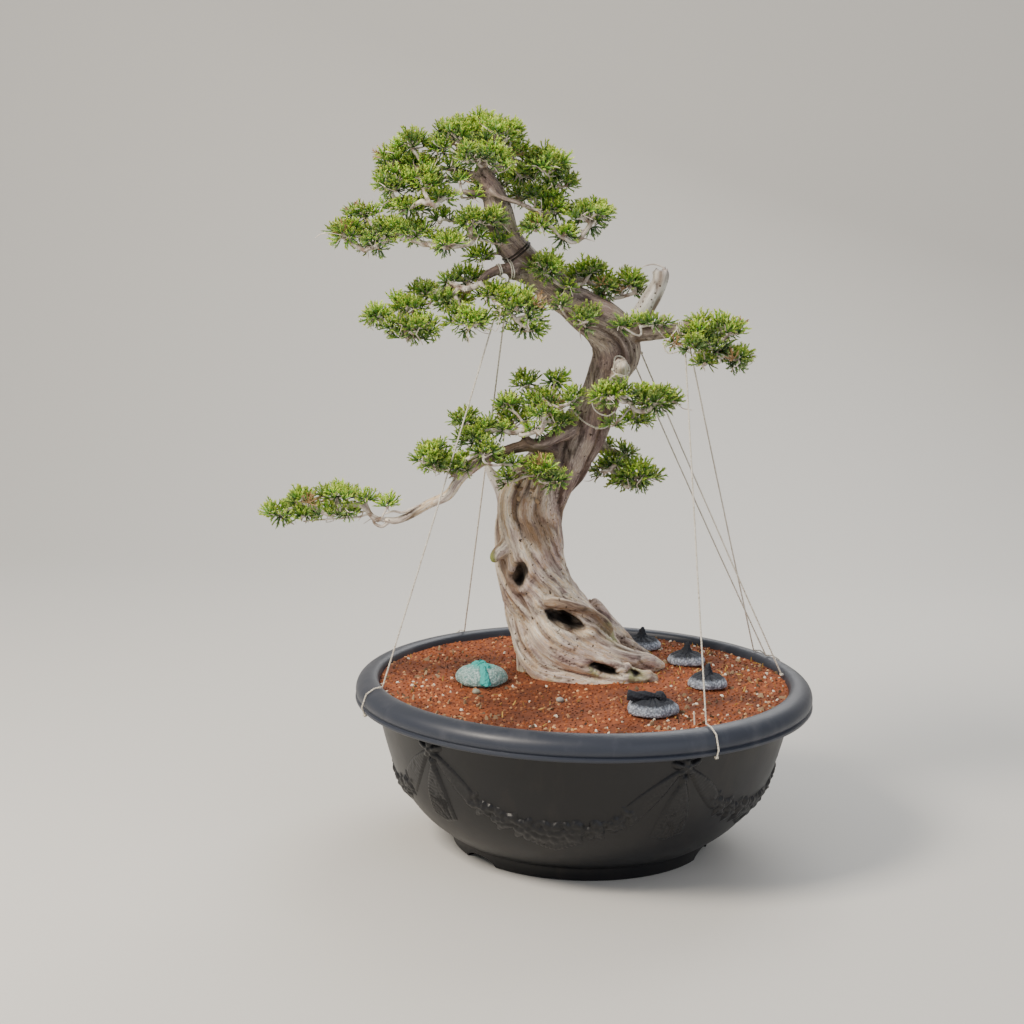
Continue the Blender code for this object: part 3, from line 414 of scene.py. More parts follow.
draw = random.Random(5)
for knot in KNOTS:
    knot_at = ROUND_THE_WALL * knot / 360
    span = ROUND_THE_WALL / len(KNOTS)

    def hung(t):
        """The place on the garland's middle line a share of the way to the next knot."""
        return knot_at + span * t, KNOT_LEVEL - 6 - (KNOT_LEVEL - SWAG_LOW) * (1 - abs(2 * t - 1) ** 2.2)

    for k in range(SWAG_CORDS):
        fan = (k - 4) / 4
        low, high = hung(0.17), hung(0.80)
        strand((knot_at + 4, KNOT_LEVEL - 2), (low[0] + 2 * fan, low[1] + 8 * fan), 0.05 * fan, 1.0, 2.4)
        strand((high[0] + 3 * fan, high[1] - 11 * fan), (knot_at + span - 4, KNOT_LEVEL - 2),
               -0.04 * fan, 1.0, 2.4)
    for k in range(FRUIT_GROUPS):
        t = 0.15 + 0.66 * (k + 0.5) / FRUIT_GROUPS
        along, level = hung(t)
        swell = 0.75 + 0.35 * math.sin(math.pi * (t - 0.1) / 0.8)
        for _ in range(3):
            turn = draw.uniform(0, 2 * math.pi)
            size = draw.uniform(3.4, 5.2) * swell
            bumps.append((along + 7.5 * swell * math.cos(turn), level + 7.5 * swell * math.sin(turn),
                          size, size * 0.9, turn, 0.5 * size + 1.2))
        for side in (-1, 1):
            turn = draw.uniform(0.5, 1.2) * side + math.pi * (k % 2)
            bumps.append((along + 9 * swell * math.cos(turn), level + 9 * swell * math.sin(turn),
                          7.5 * swell, 3.0 * swell, turn, 2.0))
    for t, size in FLOWERS:
        along, level = hung(t)
        rosette(along, level + draw.uniform(-2, 2), size, 5 + int(size > 12), draw.uniform(0, 2), 3.6)
    for k in range(FRINGE_CORDS):
        along, level = hung(0.42 + 0.014 * k)
        drop = 24 - 1.1 * abs(k - 6) ** 1.3
        strand((along, level - 6), (along + 1.3 * (k - 6), level - drop), 0.03, 1.3, 2.2)
    rosette(knot_at, KNOT_LEVEL, 10.5, 5, 0.3, 4.2)
    for side in (-1, 1):
        bumps.append((knot_at + 10 * side, KNOT_LEVEL + 3, 7.5, 4.2, 0.5 * side, 3.4))
    bumps.append((knot_at, KNOT_LEVEL - 14, 4.4, 4.8, 0, 4.0))
    for k in range(TASSEL_CORDS):
        fan = (k - 6) / 6
        hem = (knot_at - 6 + 19 * fan, KNOT_LEVEL - 88 + 6 * abs(fan))
        strand((knot_at + 1.2 * fan, KNOT_LEVEL - 18), hem, 0.05 * fan, 1.15, 2.6 + 0.7 * (k % 2))

GRID = 1.3
RELIEF_LOW, RELIEF_HIGH = 46.0, 163.0
RELIEF_EDGE = 0.12
SUNK = -0.8
columns = round(ROUND_THE_WALL / GRID)
levels = np.arange(RELIEF_LOW, RELIEF_HIGH, GRID)
heights = np.zeros((len(levels), columns))
for along, level, long_half, wide_half, turn, high in bumps:
    reach = max(long_half, wide_half) + GRID
    rows = np.where(abs(levels - level) < reach)[0]
    near = np.arange(math.floor((along - reach) / GRID), math.ceil((along + reach) / GRID) + 1)
    across, rise = np.meshgrid(near * GRID - along, levels[rows] - level)
    one = (across * math.cos(turn) + rise * math.sin(turn)) / long_half
    two = (rise * math.cos(turn) - across * math.sin(turn)) / wide_half
    bump = 1.2 * high * np.clip(1 - one ** 2 - two ** 2, 0, 1) ** 0.6
    place = np.ix_(rows, near % columns)
    heights[place] = np.maximum(heights[place], bump)
soft = (heights + np.roll(heights, 1, 1) + np.roll(heights, -1, 1)) / 3
soft[1:-1] = (soft[:-2] + 4 * soft[1:-1] + soft[2:]) / 6
wall_radius = np.interp(levels, wall_line[:, 1], wall_line[:, 0])
relief_radius = wall_radius[:, None] + np.where(soft > RELIEF_EDGE, soft, SUNK)
angles = 2 * np.pi * np.arange(columns) / columns
relief_points = np.stack([relief_radius * np.sin(angles), -relief_radius * np.cos(angles),
                          np.repeat(levels[:, None], columns, axis=1)], axis=2).reshape(-1, 3)
raised = (soft > RELIEF_EDGE).ravel()
relief_faces = [face for face in grid_faces(len(levels), columns) if raised[list(face)].any()]
used = np.unique(np.array(relief_faces))
renumber = np.zeros(len(relief_points), int)
renumber[used] = np.arange(len(used))

# Polypropylene, black, from a polished mould: satin, with fine waves in the skin, dust that has
# dried in brown stains on the wall, and a rim painted paler and bluer as a painted reflection.
plastic = Look("moulded_black_polypropylene", Roughness=0.4, IOR=1.49)
stain = plastic.noise(16.0, 6.0, Roughness=0.62)
hanging = plastic.add("ShaderNodeMapping", {"Scale": (1.0, 1.0, 0.22)}, {"Vector": plastic.place()})
streak = plastic.noise(60.0, 4.0, hanging.outputs[0])
dusted = plastic.ranged(plastic.maths("MULTIPLY", stain, streak), 0.27, 0.46, 0.0, 0.45)
height = plastic.add("ShaderNodeSeparateXYZ", links={0: plastic.place()}).outputs["Z"]
# The rim and lip are painted paler and bluer than the wall: a painted reflection, with the same dust on it.
rim_reflection_share = plastic.ranged(height, 0.165, 0.169)
wall_tone = plastic.mixed(dusted, "08090f", "292320")
rim_reflection_and_dust_tone = plastic.mixed(dusted, "303541", "565860")
plastic.drive("Base Color", plastic.mixed(rim_reflection_share, wall_tone, rim_reflection_and_dust_tone))
plastic.drive("Roughness", plastic.ranged(stain, 0.0, 1.0, 0.32, 0.56))
plastic.bump(plastic.noise(340.0, 3.0), 0.12, 0.0006)

pot = solid("training_pot", pot_points, pot_faces, plastic)
cutters = []
for azimuth in FOOT_NOTCHES:
    turn = Matrix.Rotation(math.radians(azimuth), 3, "Z")
    arch = [(NOTCH_HALF_WIDTH * math.cos(math.pi * k / 16), NOTCH_HEIGHT * math.sin(math.pi * k / 16))
            for k in range(17)]
    arch += [(-NOTCH_HALF_WIDTH, -2.0), (NOTCH_HALF_WIDTH, -2.0)]
    ring = [turn @ Vector((x, y, z)) for y in (-158.0, -127.0) for x, z in arch]
    count = len(arch)
    faces = [tuple(range(count)), tuple(range(2 * count - 1, count - 1, -1))]
    faces += [(k, k + count, (k + 1) % count + count, (k + 1) % count) for k in range(count)]
    cutters.append(([tuple(p) for p in ring], faces))
for azimuth in DRAINS:
    centre = Matrix.Rotation(math.radians(azimuth), 3, "Z") @ Vector((0, -DRAIN_CENTRE, 0))
    ring = [(centre.x + DRAIN_RADIUS * math.cos(2 * math.pi * k / DRAIN_SIDES),
             centre.y + DRAIN_RADIUS * math.sin(2 * math.pi * k / DRAIN_SIDES), z)
            for z in (8.0, 30.0) for k in range(DRAIN_SIDES)]
    cutters.append((ring, capped_faces(2, DRAIN_SIDES)))
cut_away(pot, cutters)
relief = solid("relief", relief_points[used], renumber[np.array(relief_faces)], plastic)
with bpy.context.temp_override(active_object=pot, selected_editable_objects=[pot, relief]):
    bpy.ops.object.join()
pot.data.set_sharp_from_angle(angle=math.radians(50))
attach(pot, "root")
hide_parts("pot")


# Soil
# Granules of baked red-brown clay mixed with white pumice, with bits of straw and bark among
# them. They lie loose, a little lower than the rim.
def value_noise(points, seed):
    """Smooth noise from 0 to 1 at each point, one cell a unit."""
    cell = np.floor(points).astype(np.int64)
    part = points - cell
    part = part * part * (3 - 2 * part)
    total = np.zeros(len(points))
    for corner in range(8):
        step = np.array((corner & 1, corner >> 1 & 1, corner >> 2 & 1))
        key = ((cell + step) * (73856093, 19349663, 83492791)).sum(axis=1) + seed * 1013
        key = (key ^ (key >> 13)) * 1274126177 & 0x7FFFFFFF
        key = (key ^ (key >> 11)) * 668265263 & 0x7FFFFFFF
        weight = np.where(step, part, 1 - part).prod(axis=1)
        total += weight * (key & 0xFFFF) / 0xFFFF
    return total


def layered_noise(points, seed, layers=3):
    """Noise of several layers, each half as wide and strong as the one before."""
    total = sum(value_noise(points * 2 ** k, seed + k) / 2 ** k for k in range(layers))
    return total / (2 - 2 ** (1 - layers))


SOIL_TOP = 185.0
SOIL_EDGE = 232.4
SOIL_SIDES = 160
radii = np.concatenate([np.arange(3.0, SOIL_EDGE, 4.0), [SOIL_EDGE]])
angles = 2 * np.pi * np.arange(SOIL_SIDES) / SOIL_SIDES
soil_points = np.stack([np.outer(radii, np.sin(angles)), -np.outer(radii, np.cos(angles)),
                        np.zeros((len(radii), SOIL_SIDES))], axis=2).reshape(-1, 3)
soil_points[:, 2] = SOIL_TOP - 2.2 + 4.0 * layered_noise(soil_points / 38.0, 3)


def patch_on_soil(x, y, spread):
    """One at a place on the soil, fading to nothing around it."""
    return np.exp(-np.hypot(soil_points[:, 0] - x, soil_points[:, 1] - y) ** 2 / spread)


soil_points[:, 2] += 4.0 * patch_on_soil(-5, 32, 7000)
edge = np.hypot(soil_points[:, 0], soil_points[:, 1]) / SOIL_EDGE
pale_share = 0.08 + 0.92 * np.clip((edge - 0.45) / 0.5, 0, 1) * (soil_points[:, 0] > -60)
pale_share += 0.8 * patch_on_soil(-180, -45, 2500)
straw_share = 0.1 + patch_on_soil(160, 75, 9000)
chip_share = 0.15 + 0.85 * np.clip((edge - 0.5) / 0.4, 0, 1)
soil_faces = [tuple(reversed(face)) for face in grid_faces(len(radii), SOIL_SIDES)]
soil_faces.append(tuple(range(SOIL_SIDES)))

# Baked clay: matt and porous. Some granules are dark and damp, some dusty and pale.
clay = Look("baked_clay_granules", Roughness=0.95)
fleck = clay.noise(420.0, 3.0)
damp = clay.ranged(clay.noise(14.0, 4.0), 0.4, 0.6, 0.7, 1.35)
grit = clay.ranged(fleck, 0.3, 0.7, 0.75, 1.2)
tone = clay.ramp(clay.value("tint"), (0.0, "2c150b"), (0.3, "5c2b15"), (0.6, "8f4d29"), (0.88, "aa683f"),
                 (1.0, "cda37a"))
clay.drive("Base Color", clay.scaled(tone, clay.maths("MULTIPLY", damp, grit)))
clay.bump(fleck, 0.5, 0.0008)


def tinted(name, dark, pale, roughness):
    """A matt material that goes from dark to pale with the tint of each bit."""
    look = Look(name, Roughness=roughness)
    look.drive("Base Color", look.mixed(look.value("tint"), dark, pale))
    return look


# Pumice: light volcanic stone, so dull and chalky, from sandy grey to nearly white.
pumice = tinted("white_pumice", "b79a78", "e9e2d2", 0.9)
# Straw: dry stalks, a little smoother, brown where they rot and yellow where they are fresh.
straw = tinted("dry_straw", "6b4a2a", "cfa955", 0.75)
# Bark: rough dry chips, dark brown to pale tan.
bark_chip = tinted("bark_chips", "2e2018", "a98e6e", 0.85)

soil = solid("soil_bed", soil_points, soil_faces, clay, {
    "everywhere": np.ones(len(soil_points)), "pale": pale_share, "straw": straw_share, "chips": chip_share,
    "tint": 0.2 + layered_noise(soil_points / 5.0, 8) * 0.5})
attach(soil, "root")
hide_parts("soil")


def lump(name, seed, stretch):
    """A broken granule of unit size with a few facets, as a mould for the scattered ones."""
    rough = random.Random(seed)
    mesh = bpy.data.meshes.new(name)
    body = bmesh.new()
    bmesh.ops.create_icosphere(body, subdivisions=1, radius=0.5)
    for vertex in body.verts:
        vertex.co = Vector([c * s * rough.uniform(0.75, 1.15) for c, s in zip(vertex.co, stretch)])
    body.to_mesh(mesh)
    body.free()
    return bpy.data.objects.new(name, mesh)


def geometry_tree(name, inputs, output):
    """A Geometry Nodes tree with named inputs only: the tree, its inputs' keys and their sockets."""
    tree = bpy.data.node_groups.new(name, "GeometryNodeTree")
    keys = {}
    for label, kind in inputs.items():
        made = tree.interface.new_socket(label, in_out="INPUT", socket_type="NodeSocket" + kind)
        keys[label] = made.identifier
    tree.interface.new_socket(output, in_out="OUTPUT", socket_type="NodeSocketGeometry")
    return tree, keys, add(tree, "NodeGroupInput").outputs


def scatter_tree():
    """Grains of several moulds spread over a surface, each turned and sized at random."""
    tree, keys, given = geometry_tree("scattered_grains", {
        "Surface": "Geometry", "Moulds": "Collection", "Apart": "Float", "Density": "Float",
        "Share": "String", "Smallest": "Float", "Largest": "Float", "Seed": "Int",
        "Look": "Material"}, "Grains")
    share = add(tree, "GeometryNodeInputNamedAttribute", {"data_type": "FLOAT"}, {"Name": given["Share"]})
    spots = add(tree, "GeometryNodeDistributePointsOnFaces", {"distribute_method": "POISSON"},
                {"Mesh": given["Surface"], "Distance Min": given["Apart"], "Density Max": given["Density"],
                 "Density Factor": share.outputs[0], "Seed": given["Seed"]})
    turn = add(tree, "FunctionNodeRandomValue", {"data_type": "FLOAT_VECTOR", 1: (6.28, 6.28, 6.28)},
               {"Seed": given["Seed"]})
    size = add(tree, "FunctionNodeRandomValue", {"data_type": "FLOAT"},
               {2: given["Smallest"], 3: given["Largest"], "Seed": given["Seed"]})
    moulds = add(tree, "GeometryNodeCollectionInfo", {"Separate Children": True, "Reset Children": True},
                 {"Collection": given["Moulds"]})
    spin = add(tree, "FunctionNodeEulerToRotation", links={0: turn.outputs[0]})
    grains = add(tree, "GeometryNodeInstanceOnPoints", {"Pick Instance": True},
                 {"Points": spots.outputs[0], "Instance": moulds.outputs[0], "Rotation": spin.outputs[0],
                  "Scale": size.outputs[1]})
    tint = add(tree, "FunctionNodeRandomValue", {"data_type": "FLOAT"}, {"Seed": given["Seed"]})
    marked = add(tree, "GeometryNodeStoreNamedAttribute",
                 {"data_type": "FLOAT", "domain": "INSTANCE", "Name": "tint"},
                 {"Geometry": grains.outputs[0], "Value": tint.outputs[1]})
    real = add(tree, "GeometryNodeRealizeInstances", links={0: marked.outputs[0]})
    done = add(tree, "GeometryNodeSetMaterial",
               links={"Geometry": real.outputs[0], "Material": given["Look"]})
    add(tree, "NodeGroupOutput", links={0: done.outputs[0]})
    return tree, keys


def made_by_nodes(name, source, tree, keys, values):
    """The plain mesh that a tree makes from a source object, as a new object."""
    holder = new_object(name + "_source", source.data.copy())
    nodes = holder.modifiers.new("nodes", "NODES")
    nodes.node_group = tree
    for label, value in values.items():
        nodes[keys[label]] = value
    mesh = evaluated_mesh(holder)
    mesh.name = name
    bpy.data.objects.remove(holder, do_unlink=True)
    return new_object(name, mesh)


GRAIN_MOULDS = 4
# Each kind of grain: stretch of its mould, least distance apart and density a square metre,
# where it lies, and its smallest and largest size
GRAINS = (
    ("clay_granules", (1.0, 1.0, 0.75), 3.9, 40000.0, "everywhere", 2.2, 4.8, clay),
    ("pumice_bits", (1.0, 0.8, 0.6), 5.0, 3600.0, "pale", 2.4, 6.5, pumice),
    ("straw_bits", (3.4, 0.5, 0.22), 4.5, 5200.0, "straw", 2.4, 4.8, straw),
    ("bark_chips", (1.6, 1.0, 0.3), 7.0, 1500.0, "chips", 4.0, 8.5, bark_chip),
)
grain_tree, grain_keys = scatter_tree()
for number, (name, stretch, apart, density, share, smallest, largest, look) in enumerate(GRAINS):
    moulds = bpy.data.collections.new(name + "_moulds")
    for k in range(GRAIN_MOULDS):
        moulds.objects.link(lump(f"{name}_mould_{k}", 10 * number + k, stretch))
    grains = made_by_nodes(name, soil, grain_tree, grain_keys, {
        "Moulds": moulds, "Apart": apart * MM, "Density": density, "Share": share, "Smallest": smallest * MM,
        "Largest": largest * MM, "Seed": 20 + number, "Look": look.material})
    discard(moulds)
    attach(grains, "root")


# Trunk, roots and branches
# One piece of juniper wood. The foot and the broken limbs have lost their bark and weathered to
# pale, twisted, grooved deadwood. Thin flaky grey-brown bark still covers the live wood above.

# Each limb is rows of place and radius, and each hollow a centre, half sizes and a lean.
TRUNK = (
    (-2, 49, 162, 62), (-18, 47, 207, 57), (-36, 43, 241, 49), (-50, 40, 269, 43),
    (-59, 39, 293, 40), (-65, 37, 319, 39), (-66, 35, 345, 38), (-66, 34, 368, 38),
    (-63, 32, 388, 38), (-51, 30, 410, 35), (-34, 27, 431, 31), (-22, 25, 449, 28),
    (-9, 24, 467, 27), (2, 22, 490, 24), (11, 20, 511, 22), (18, 18, 535, 22),
    (27, 17, 558, 26), (24, 15, 578, 26), (9, 12, 595, 24), (-8, 10, 606, 22),
    (-33, 5, 625, 19), (-59, -1, 645, 17), (-81, -7, 667, 16), (-97, -13, 689, 15),
    (-104, -18, 714, 14), (-112, -22, 737, 11), (-121, -26, 757, 6), (-128, -28, 775, 3.5),
)
ROOTS = (
    ((-51, 22, 263, 20), (-38, 5, 236, 22), (-10, -1, 214, 20), (20, -1, 202, 16),
     (50, 1, 193, 11), (83, 11, 185, 7)),
    ((-30, 15, 263, 16), (-5, 9, 239, 15), (25, 11, 220, 13), (51, 25, 206, 12),
     (74, 49, 196, 11), (89, 75, 184, 8)),
    ((-69, 27, 251, 18), (-61, 19, 222, 20), (-42, 9, 198, 20), (-15, -1, 188, 17),
     (20, -9, 184, 11), (51, -10, 181, 6)),
    ((-34, 29, 299, 13), (-20, 29, 275, 14), (-8, 31, 263, 13), (5, 34, 251, 12), (17, 39, 240, 12),
     (24, 47, 224, 12), (28, 61, 202, 12), (32, 69, 182, 12)),
    ((0, 72, 251, 20), (30, 96, 217, 17), (57, 121, 192, 11), (77, 139, 180, 6)),
    ((-40, 82, 251, 22), (-45, 111, 212, 18), (-59, 141, 190, 11), (-71, 166, 180, 6)),
    ((-65, 57, 251, 18), (-63, 75, 217, 17), (-67, 92, 194, 11), (-74, 109, 180, 6)),
    ((-85, 35, 301, 14), (-80, 33, 271, 14), (-76, 33, 246, 14), (-67, 35, 220, 13), (-63, 39, 184, 14)),
)
STRAP = ((-50, 11, 271, 7), (-40, 1, 277, 6), (-28, -5, 278, 5.2), (-11, -1, 272, 5.2),
         (5, 13, 263, 5.6), (18, 25, 251, 7), (28, 37, 237, 8))
BRANCHES = {
    "jin": ((40, 11, 576, 12), (57, 7, 609, 10.5), (67, 5, 627, 9.5), (74, 3, 642, 8), (75, 3, 652, 8.6)),
    "right": ((24, 11, 580, 14), (50, 3, 583, 10), (75, -5, 586, 8), (97, -11, 590, 7), (109, -14, 595, 6.6)),
    "right_twig": ((91, -11, 588, 5), (103, -22, 586, 4), (111, -30, 582, 3)),
    "front_stub": ((30, 9, 529, 11), (33, -13, 542, 8), (33, -24, 554, 7)),
    "knob": ((-75, -5, 647, 11), (-85, -22, 649, 8), (-87, -29, 645, 6)),
    "left_stub": ((-87, 33, 372, 14), (-98, 31, 398, 8), (-109, 29, 416, 5.5), (-117, 27, 430, 2.5)),
    "centre_left": ((-12, 17, 477, 11), (-36, -9, 469, 8), (-51, -18, 462, 6.5), (-65, -22, 462, 5),
                    (-72, -23, 470, 4), (-73, -22, 481, 3)),
    "long": ((-30, 17, 445, 11), (-59, -14, 456, 7), (-76, -22, 457, 6.5), (-102, -32, 449, 6),
             (-122, -40, 440, 6), (-141, -47, 424, 5.5), (-154, -52, 406, 5.5), (-175, -55, 396, 5),
             (-194, -57, 384, 4.5), (-210, -58, 377, 4), (-224, -58, 378, 3.2)),
    "long_left": ((-105, -14, 702, 8), (-119, -26, 701, 5), (-137, -31, 707, 4.5), (-148, -34, 705, 3.5)),
    "middle_left": ((-67, -3, 651, 10), (-91, -24, 654, 6), (-111, -33, 649, 5), (-125, -37, 637, 4)),
    "long_right": ((-115, -22, 742, 5), (-111, -34, 736, 3.5), (-99, -40, 729, 3), (-83, -41, 725, 3),
                   (-69, -36, 719, 2.6)),
    "upper_left": ((-118, -25, 748, 5), (-139, -26, 756, 3.4), (-163, -24, 760, 2.6)),
    "crown_left": ((-112, -21, 729, 6), (-129, -32, 734, 3.8), (-147, -38, 736, 3)),
    "crown_right": ((-119, -25, 752, 4.5), (-107, -14, 762, 3.2), (-97, -9, 766, 2.6)),
    "shoulder": ((-2, 13, 604, 8), (2, 23, 618, 4.5), (3, 25, 628, 3)),
    "bend_sprig": ((-8, -3, 604, 4), (-9, -14, 602, 2.6)),
    "jin_foot": ((44, 1, 588, 4), (50, -10, 594, 2.6)),
    "small_left": ((-91, -11, 671, 4.5), (-107, -17, 669, 2.6)),
    "front_right": ((18, 11, 519, 8), (30, -11, 517, 5), (38, -24, 513, 3.4)),
    "low_left": ((-105, -33, 447, 4.5), (-117, -42, 451, 2.8)),
    "trunk_front": ((-38, 3, 435, 6), (-46, -11, 433, 3)),
    "back_right": ((6, 37, 457, 9), (22, 49, 445, 5), (33, 46, 442, 3.4)),
    "crown_back": ((-109, -16, 723, 6), (-110, 7, 731, 4), (-109, 27, 738, 3)),
    "middle_back": ((-44, 11, 633, 8), (-51, 39, 637, 4.4), (-55, 59, 641, 3)),
    "lower_back": ((-6, 39, 463, 9), (-10, 61, 465, 5), (-10, 69, 465, 3.4)),
}
KNOT_SCAR = ((-92, 13, 336, 10), (-103, 7, 328, 7), (-105, 4, 320, 4))
JIN_SPIKES = (
    ((71, 3, 645, 4), (69, 1, 656, 1.4)), ((77, 7, 645, 4), (79, 8, 658, 1.2)),
    ((79, 0, 645, 3.6), (82, -2, 657, 1.2)), ((69, 6, 643, 3), (65, 6, 653, 1.2)),
)
HOLLOWS = (
    ((-74, -3, 308), (9, 26, 15), 8.0),
    ((-23, -11, 257), (25, 38, 9), 24.0),
    ((24, -18, 203), (20, 20, 6), 18.0),
    ((57, -13, 197), (13, 18, 4.5), 14.0),
)
DEAD_LIMBS = {"jin", "left_stub", "root", "strap", "scar", "spike", "front_stub"}
WHITENESS = {"jin": 1.0, "spike": 1.0, "left_stub": 0.8, "front_stub": 0.35}
limbs = [("trunk", TRUNK)] + [("root", row) for row in ROOTS] + [("strap", STRAP), ("scar", KNOT_SCAR)]
limbs += [("spike", row) for row in JIN_SPIKES] + list(BRANCHES.items())


def unit(vector):
    """A vector at length one."""
    return vector / max(np.linalg.norm(vector), 1e-6)


def units(rows):
    """Each row at length one."""
    return rows / np.linalg.norm(rows, axis=1)[:, None]


def run_along(line):
    """How far each point of a line is from its start."""
    return np.concatenate([[0], np.cumsum(np.linalg.norm(np.diff(line, axis=0), axis=1))])


def tube(rows, sides):
    """Points and faces of a tube along rows of place and radius, and its rings' two directions."""
    rows = np.asarray(rows, float)
    way = units(np.gradient(rows[:, :3], axis=0))
    side = np.cross(way[0], (0.0, 1.0, 0.0))
    if np.linalg.norm(side) < 0.2:
        side = np.cross(way[0], (1.0, 0.0, 0.0))
    firsts, seconds = [], []
    for one in way:
        side = unit(side - one * np.dot(side, one))
        firsts.append(side)
        seconds.append(np.cross(one, side))
    firsts, seconds = np.array(firsts), np.array(seconds)
    angle = 2 * np.pi * np.arange(sides) / sides
    ring = (np.cos(angle)[None, :, None] * firsts[:, None, :]
            + np.sin(angle)[None, :, None] * seconds[:, None, :])
    points = (rows[:, None, :3] + rows[:, 3][:, None, None] * ring).reshape(-1, 3)
    return points, capped_faces(len(rows), sides), firsts, seconds


def rod(line, radius, sides):
    """Points and faces of a tube of one radius along a line."""
    return tube(np.hstack([line, np.full((len(line), 1), radius)]), sides)[:2]


def joined(shapes):
    """Points and faces of several shapes as one."""
    points, faces, start = [], [], 0
    for shape in shapes:
        points.append(np.asarray(shape[0], float))
        faces += [tuple(start + i for i in face) for face in shape[1]]
        start += len(shape[0])
    return np.vstack(points), faces


def egg(centre, halves, lean, detail=4):
    """A closed, uneven ellipsoid, its long axis leant down to the right by an angle in degrees."""
    body = bmesh.new()
    bmesh.ops.create_icosphere(body, subdivisions=detail, radius=1.0)
    turn = Matrix.Rotation(math.radians(lean), 3, "Y")
    wobble = layered_noise(np.array([v.co for v in body.verts]) * 1.6 + centre[0], 17) - 0.5
    points = [tuple(turn @ Vector([c * h * (1.06 + 0.5 * w) for c, h in zip(v.co, halves)]) + Vector(centre))
              for v, w in zip(body.verts, wobble)]
    faces = [tuple(v.index for v in face.verts) for face in body.faces]
    body.free()
    return points, faces


WOOD_VOXEL = 2.03
LIMB_SIDES = 20
LIMB_STEPS = 10
CUT_LEVELS = (100.0, 172.0)
CUT_CORNERS = ((-200, -100), (200, -100), (200, 300), (-200, 300))


def remeshed(body):
    """Gives the body one even skin."""
    remesh = body.modifiers.new("skin", "REMESH")
    remesh.mode = "VOXEL"
    remesh.voxel_size = WOOD_VOXEL * MM
    applied(body)


lines = [rounded(rows, LIMB_STEPS) for _, rows in limbs]
limb_tubes = [tube(line, LIMB_SIDES) for line in lines]
wood = solid("juniper_wood_form", *joined(limb_tubes), plastic)
remeshed(wood)
under = ([(x, y, z) for z in CUT_LEVELS for x, y in CUT_CORNERS], capped_faces(2, len(CUT_CORNERS)))
cut_away(wood, [egg(*hollow) for hollow in HOLLOWS] + [under])
remeshed(wood)
smooth = wood.modifiers.new("even", "SMOOTH")
smooth.factor = 0.5
smooth.iterations = 4
applied(wood)

count = len(wood.data.vertices)
skin_points, normals = np.empty(count * 3), np.empty(count * 3)
wood.data.vertices.foreach_get("co", skin_points)
wood.data.vertices.foreach_get("normal", normals)
skin_points = (skin_points.reshape(-1, 3) - POT_AXIS) / MM
normals = normals.reshape(-1, 3)

# The grain runs along each limb and twists round it. Each point takes the grain of the two
# limbs nearest to it, in proportion to how near they are.
TWIST = 0.011
STRETCH = 7.0
LIMB_REACH = 40
ROOT_START = 160
LIMB_SHIFT = 53.0
grain_near, grain_next = np.zeros((count, 3)), np.zeros((count, 3))
best, second = np.full(count, 1e9), np.full(count, 1e9)
owner = np.zeros(count, int)
for number, ((name, _), line, (_, _, firsts, seconds)) in enumerate(zip(limbs, lines, limb_tubes)):
    places, widths = line[:, :3], line[:, 3]
    low = places.min(axis=0) - widths.max() - LIMB_REACH
    high = places.max(axis=0) + widths.max() + LIMB_REACH
    near = np.where(((skin_points > low) & (skin_points < high)).all(axis=1))[0]
    if not len(near):
        continue
    here = skin_points[near]
    gaps = np.sqrt(np.maximum(0, (here ** 2).sum(1)[:, None] + (places ** 2).sum(1)[None]
                              - 2 * here @ places.T))
    at = (gaps - widths[None]).argmin(axis=1)
    gap = gaps[np.arange(len(near)), at] - widths[at]
    run = run_along(places) + (ROOT_START if name == "root" else 0)
    away = here - places[at]
    angle = np.arctan2((away * seconds[at]).sum(1), (away * firsts[at]).sum(1)) + TWIST * run[at]
    reach = np.maximum(widths[at], 4.0)
    grain = np.stack([np.cos(angle) * reach, np.sin(angle) * reach,
                      run[at] / STRETCH + LIMB_SHIFT * number], axis=1)
    closer = gap < best[near]
    moved = near[closer]
    grain_next[moved], second[moved] = grain_near[moved], best[moved]
    grain_near[moved], best[moved] = grain[closer], gap[closer]
    owner[moved] = number
    chosen = ~closer & (gap < second[near])
    grain_next[near[chosen]], second[near[chosen]] = grain[chosen], gap[chosen]
share = 0.5 + 0.5 * np.clip((second - best) / 6.0, 0, 1)

is_dead = np.array([name in DEAD_LIMBS for name, _ in limbs])[owner].astype(float)
bare_to = 455 + 30 * layered_noise(skin_points / 22.0, 31) - 2.2 * np.clip(skin_points[:, 0] + 62, 0, 50)
low_wood = np.clip((bare_to - skin_points[:, 2]) / 60.0, 0, 1)
dead = np.maximum(is_dead, low_wood)


def grooves(grain, seed):
    """Broad swells, long grooves, deep furrows and narrow cracks along the grain."""
    swell = value_noise(grain / 15.0, seed) - 0.5
    groove = layered_noise(grain / 6.5, seed + 5, 2) - 0.5
    fine = value_noise(grain / 2.6, seed + 9) - 0.5
    furrow = np.clip(1 - np.abs(value_noise(grain / 21.0, seed + 21) - 0.5) * 7.5, 0, 1) ** 1.5
    crack = np.clip(1 - np.abs(value_noise(grain / 10.0, seed + 13) - 0.5) * 18, 0, 1) ** 2
    return swell, groove, fine, furrow, crack


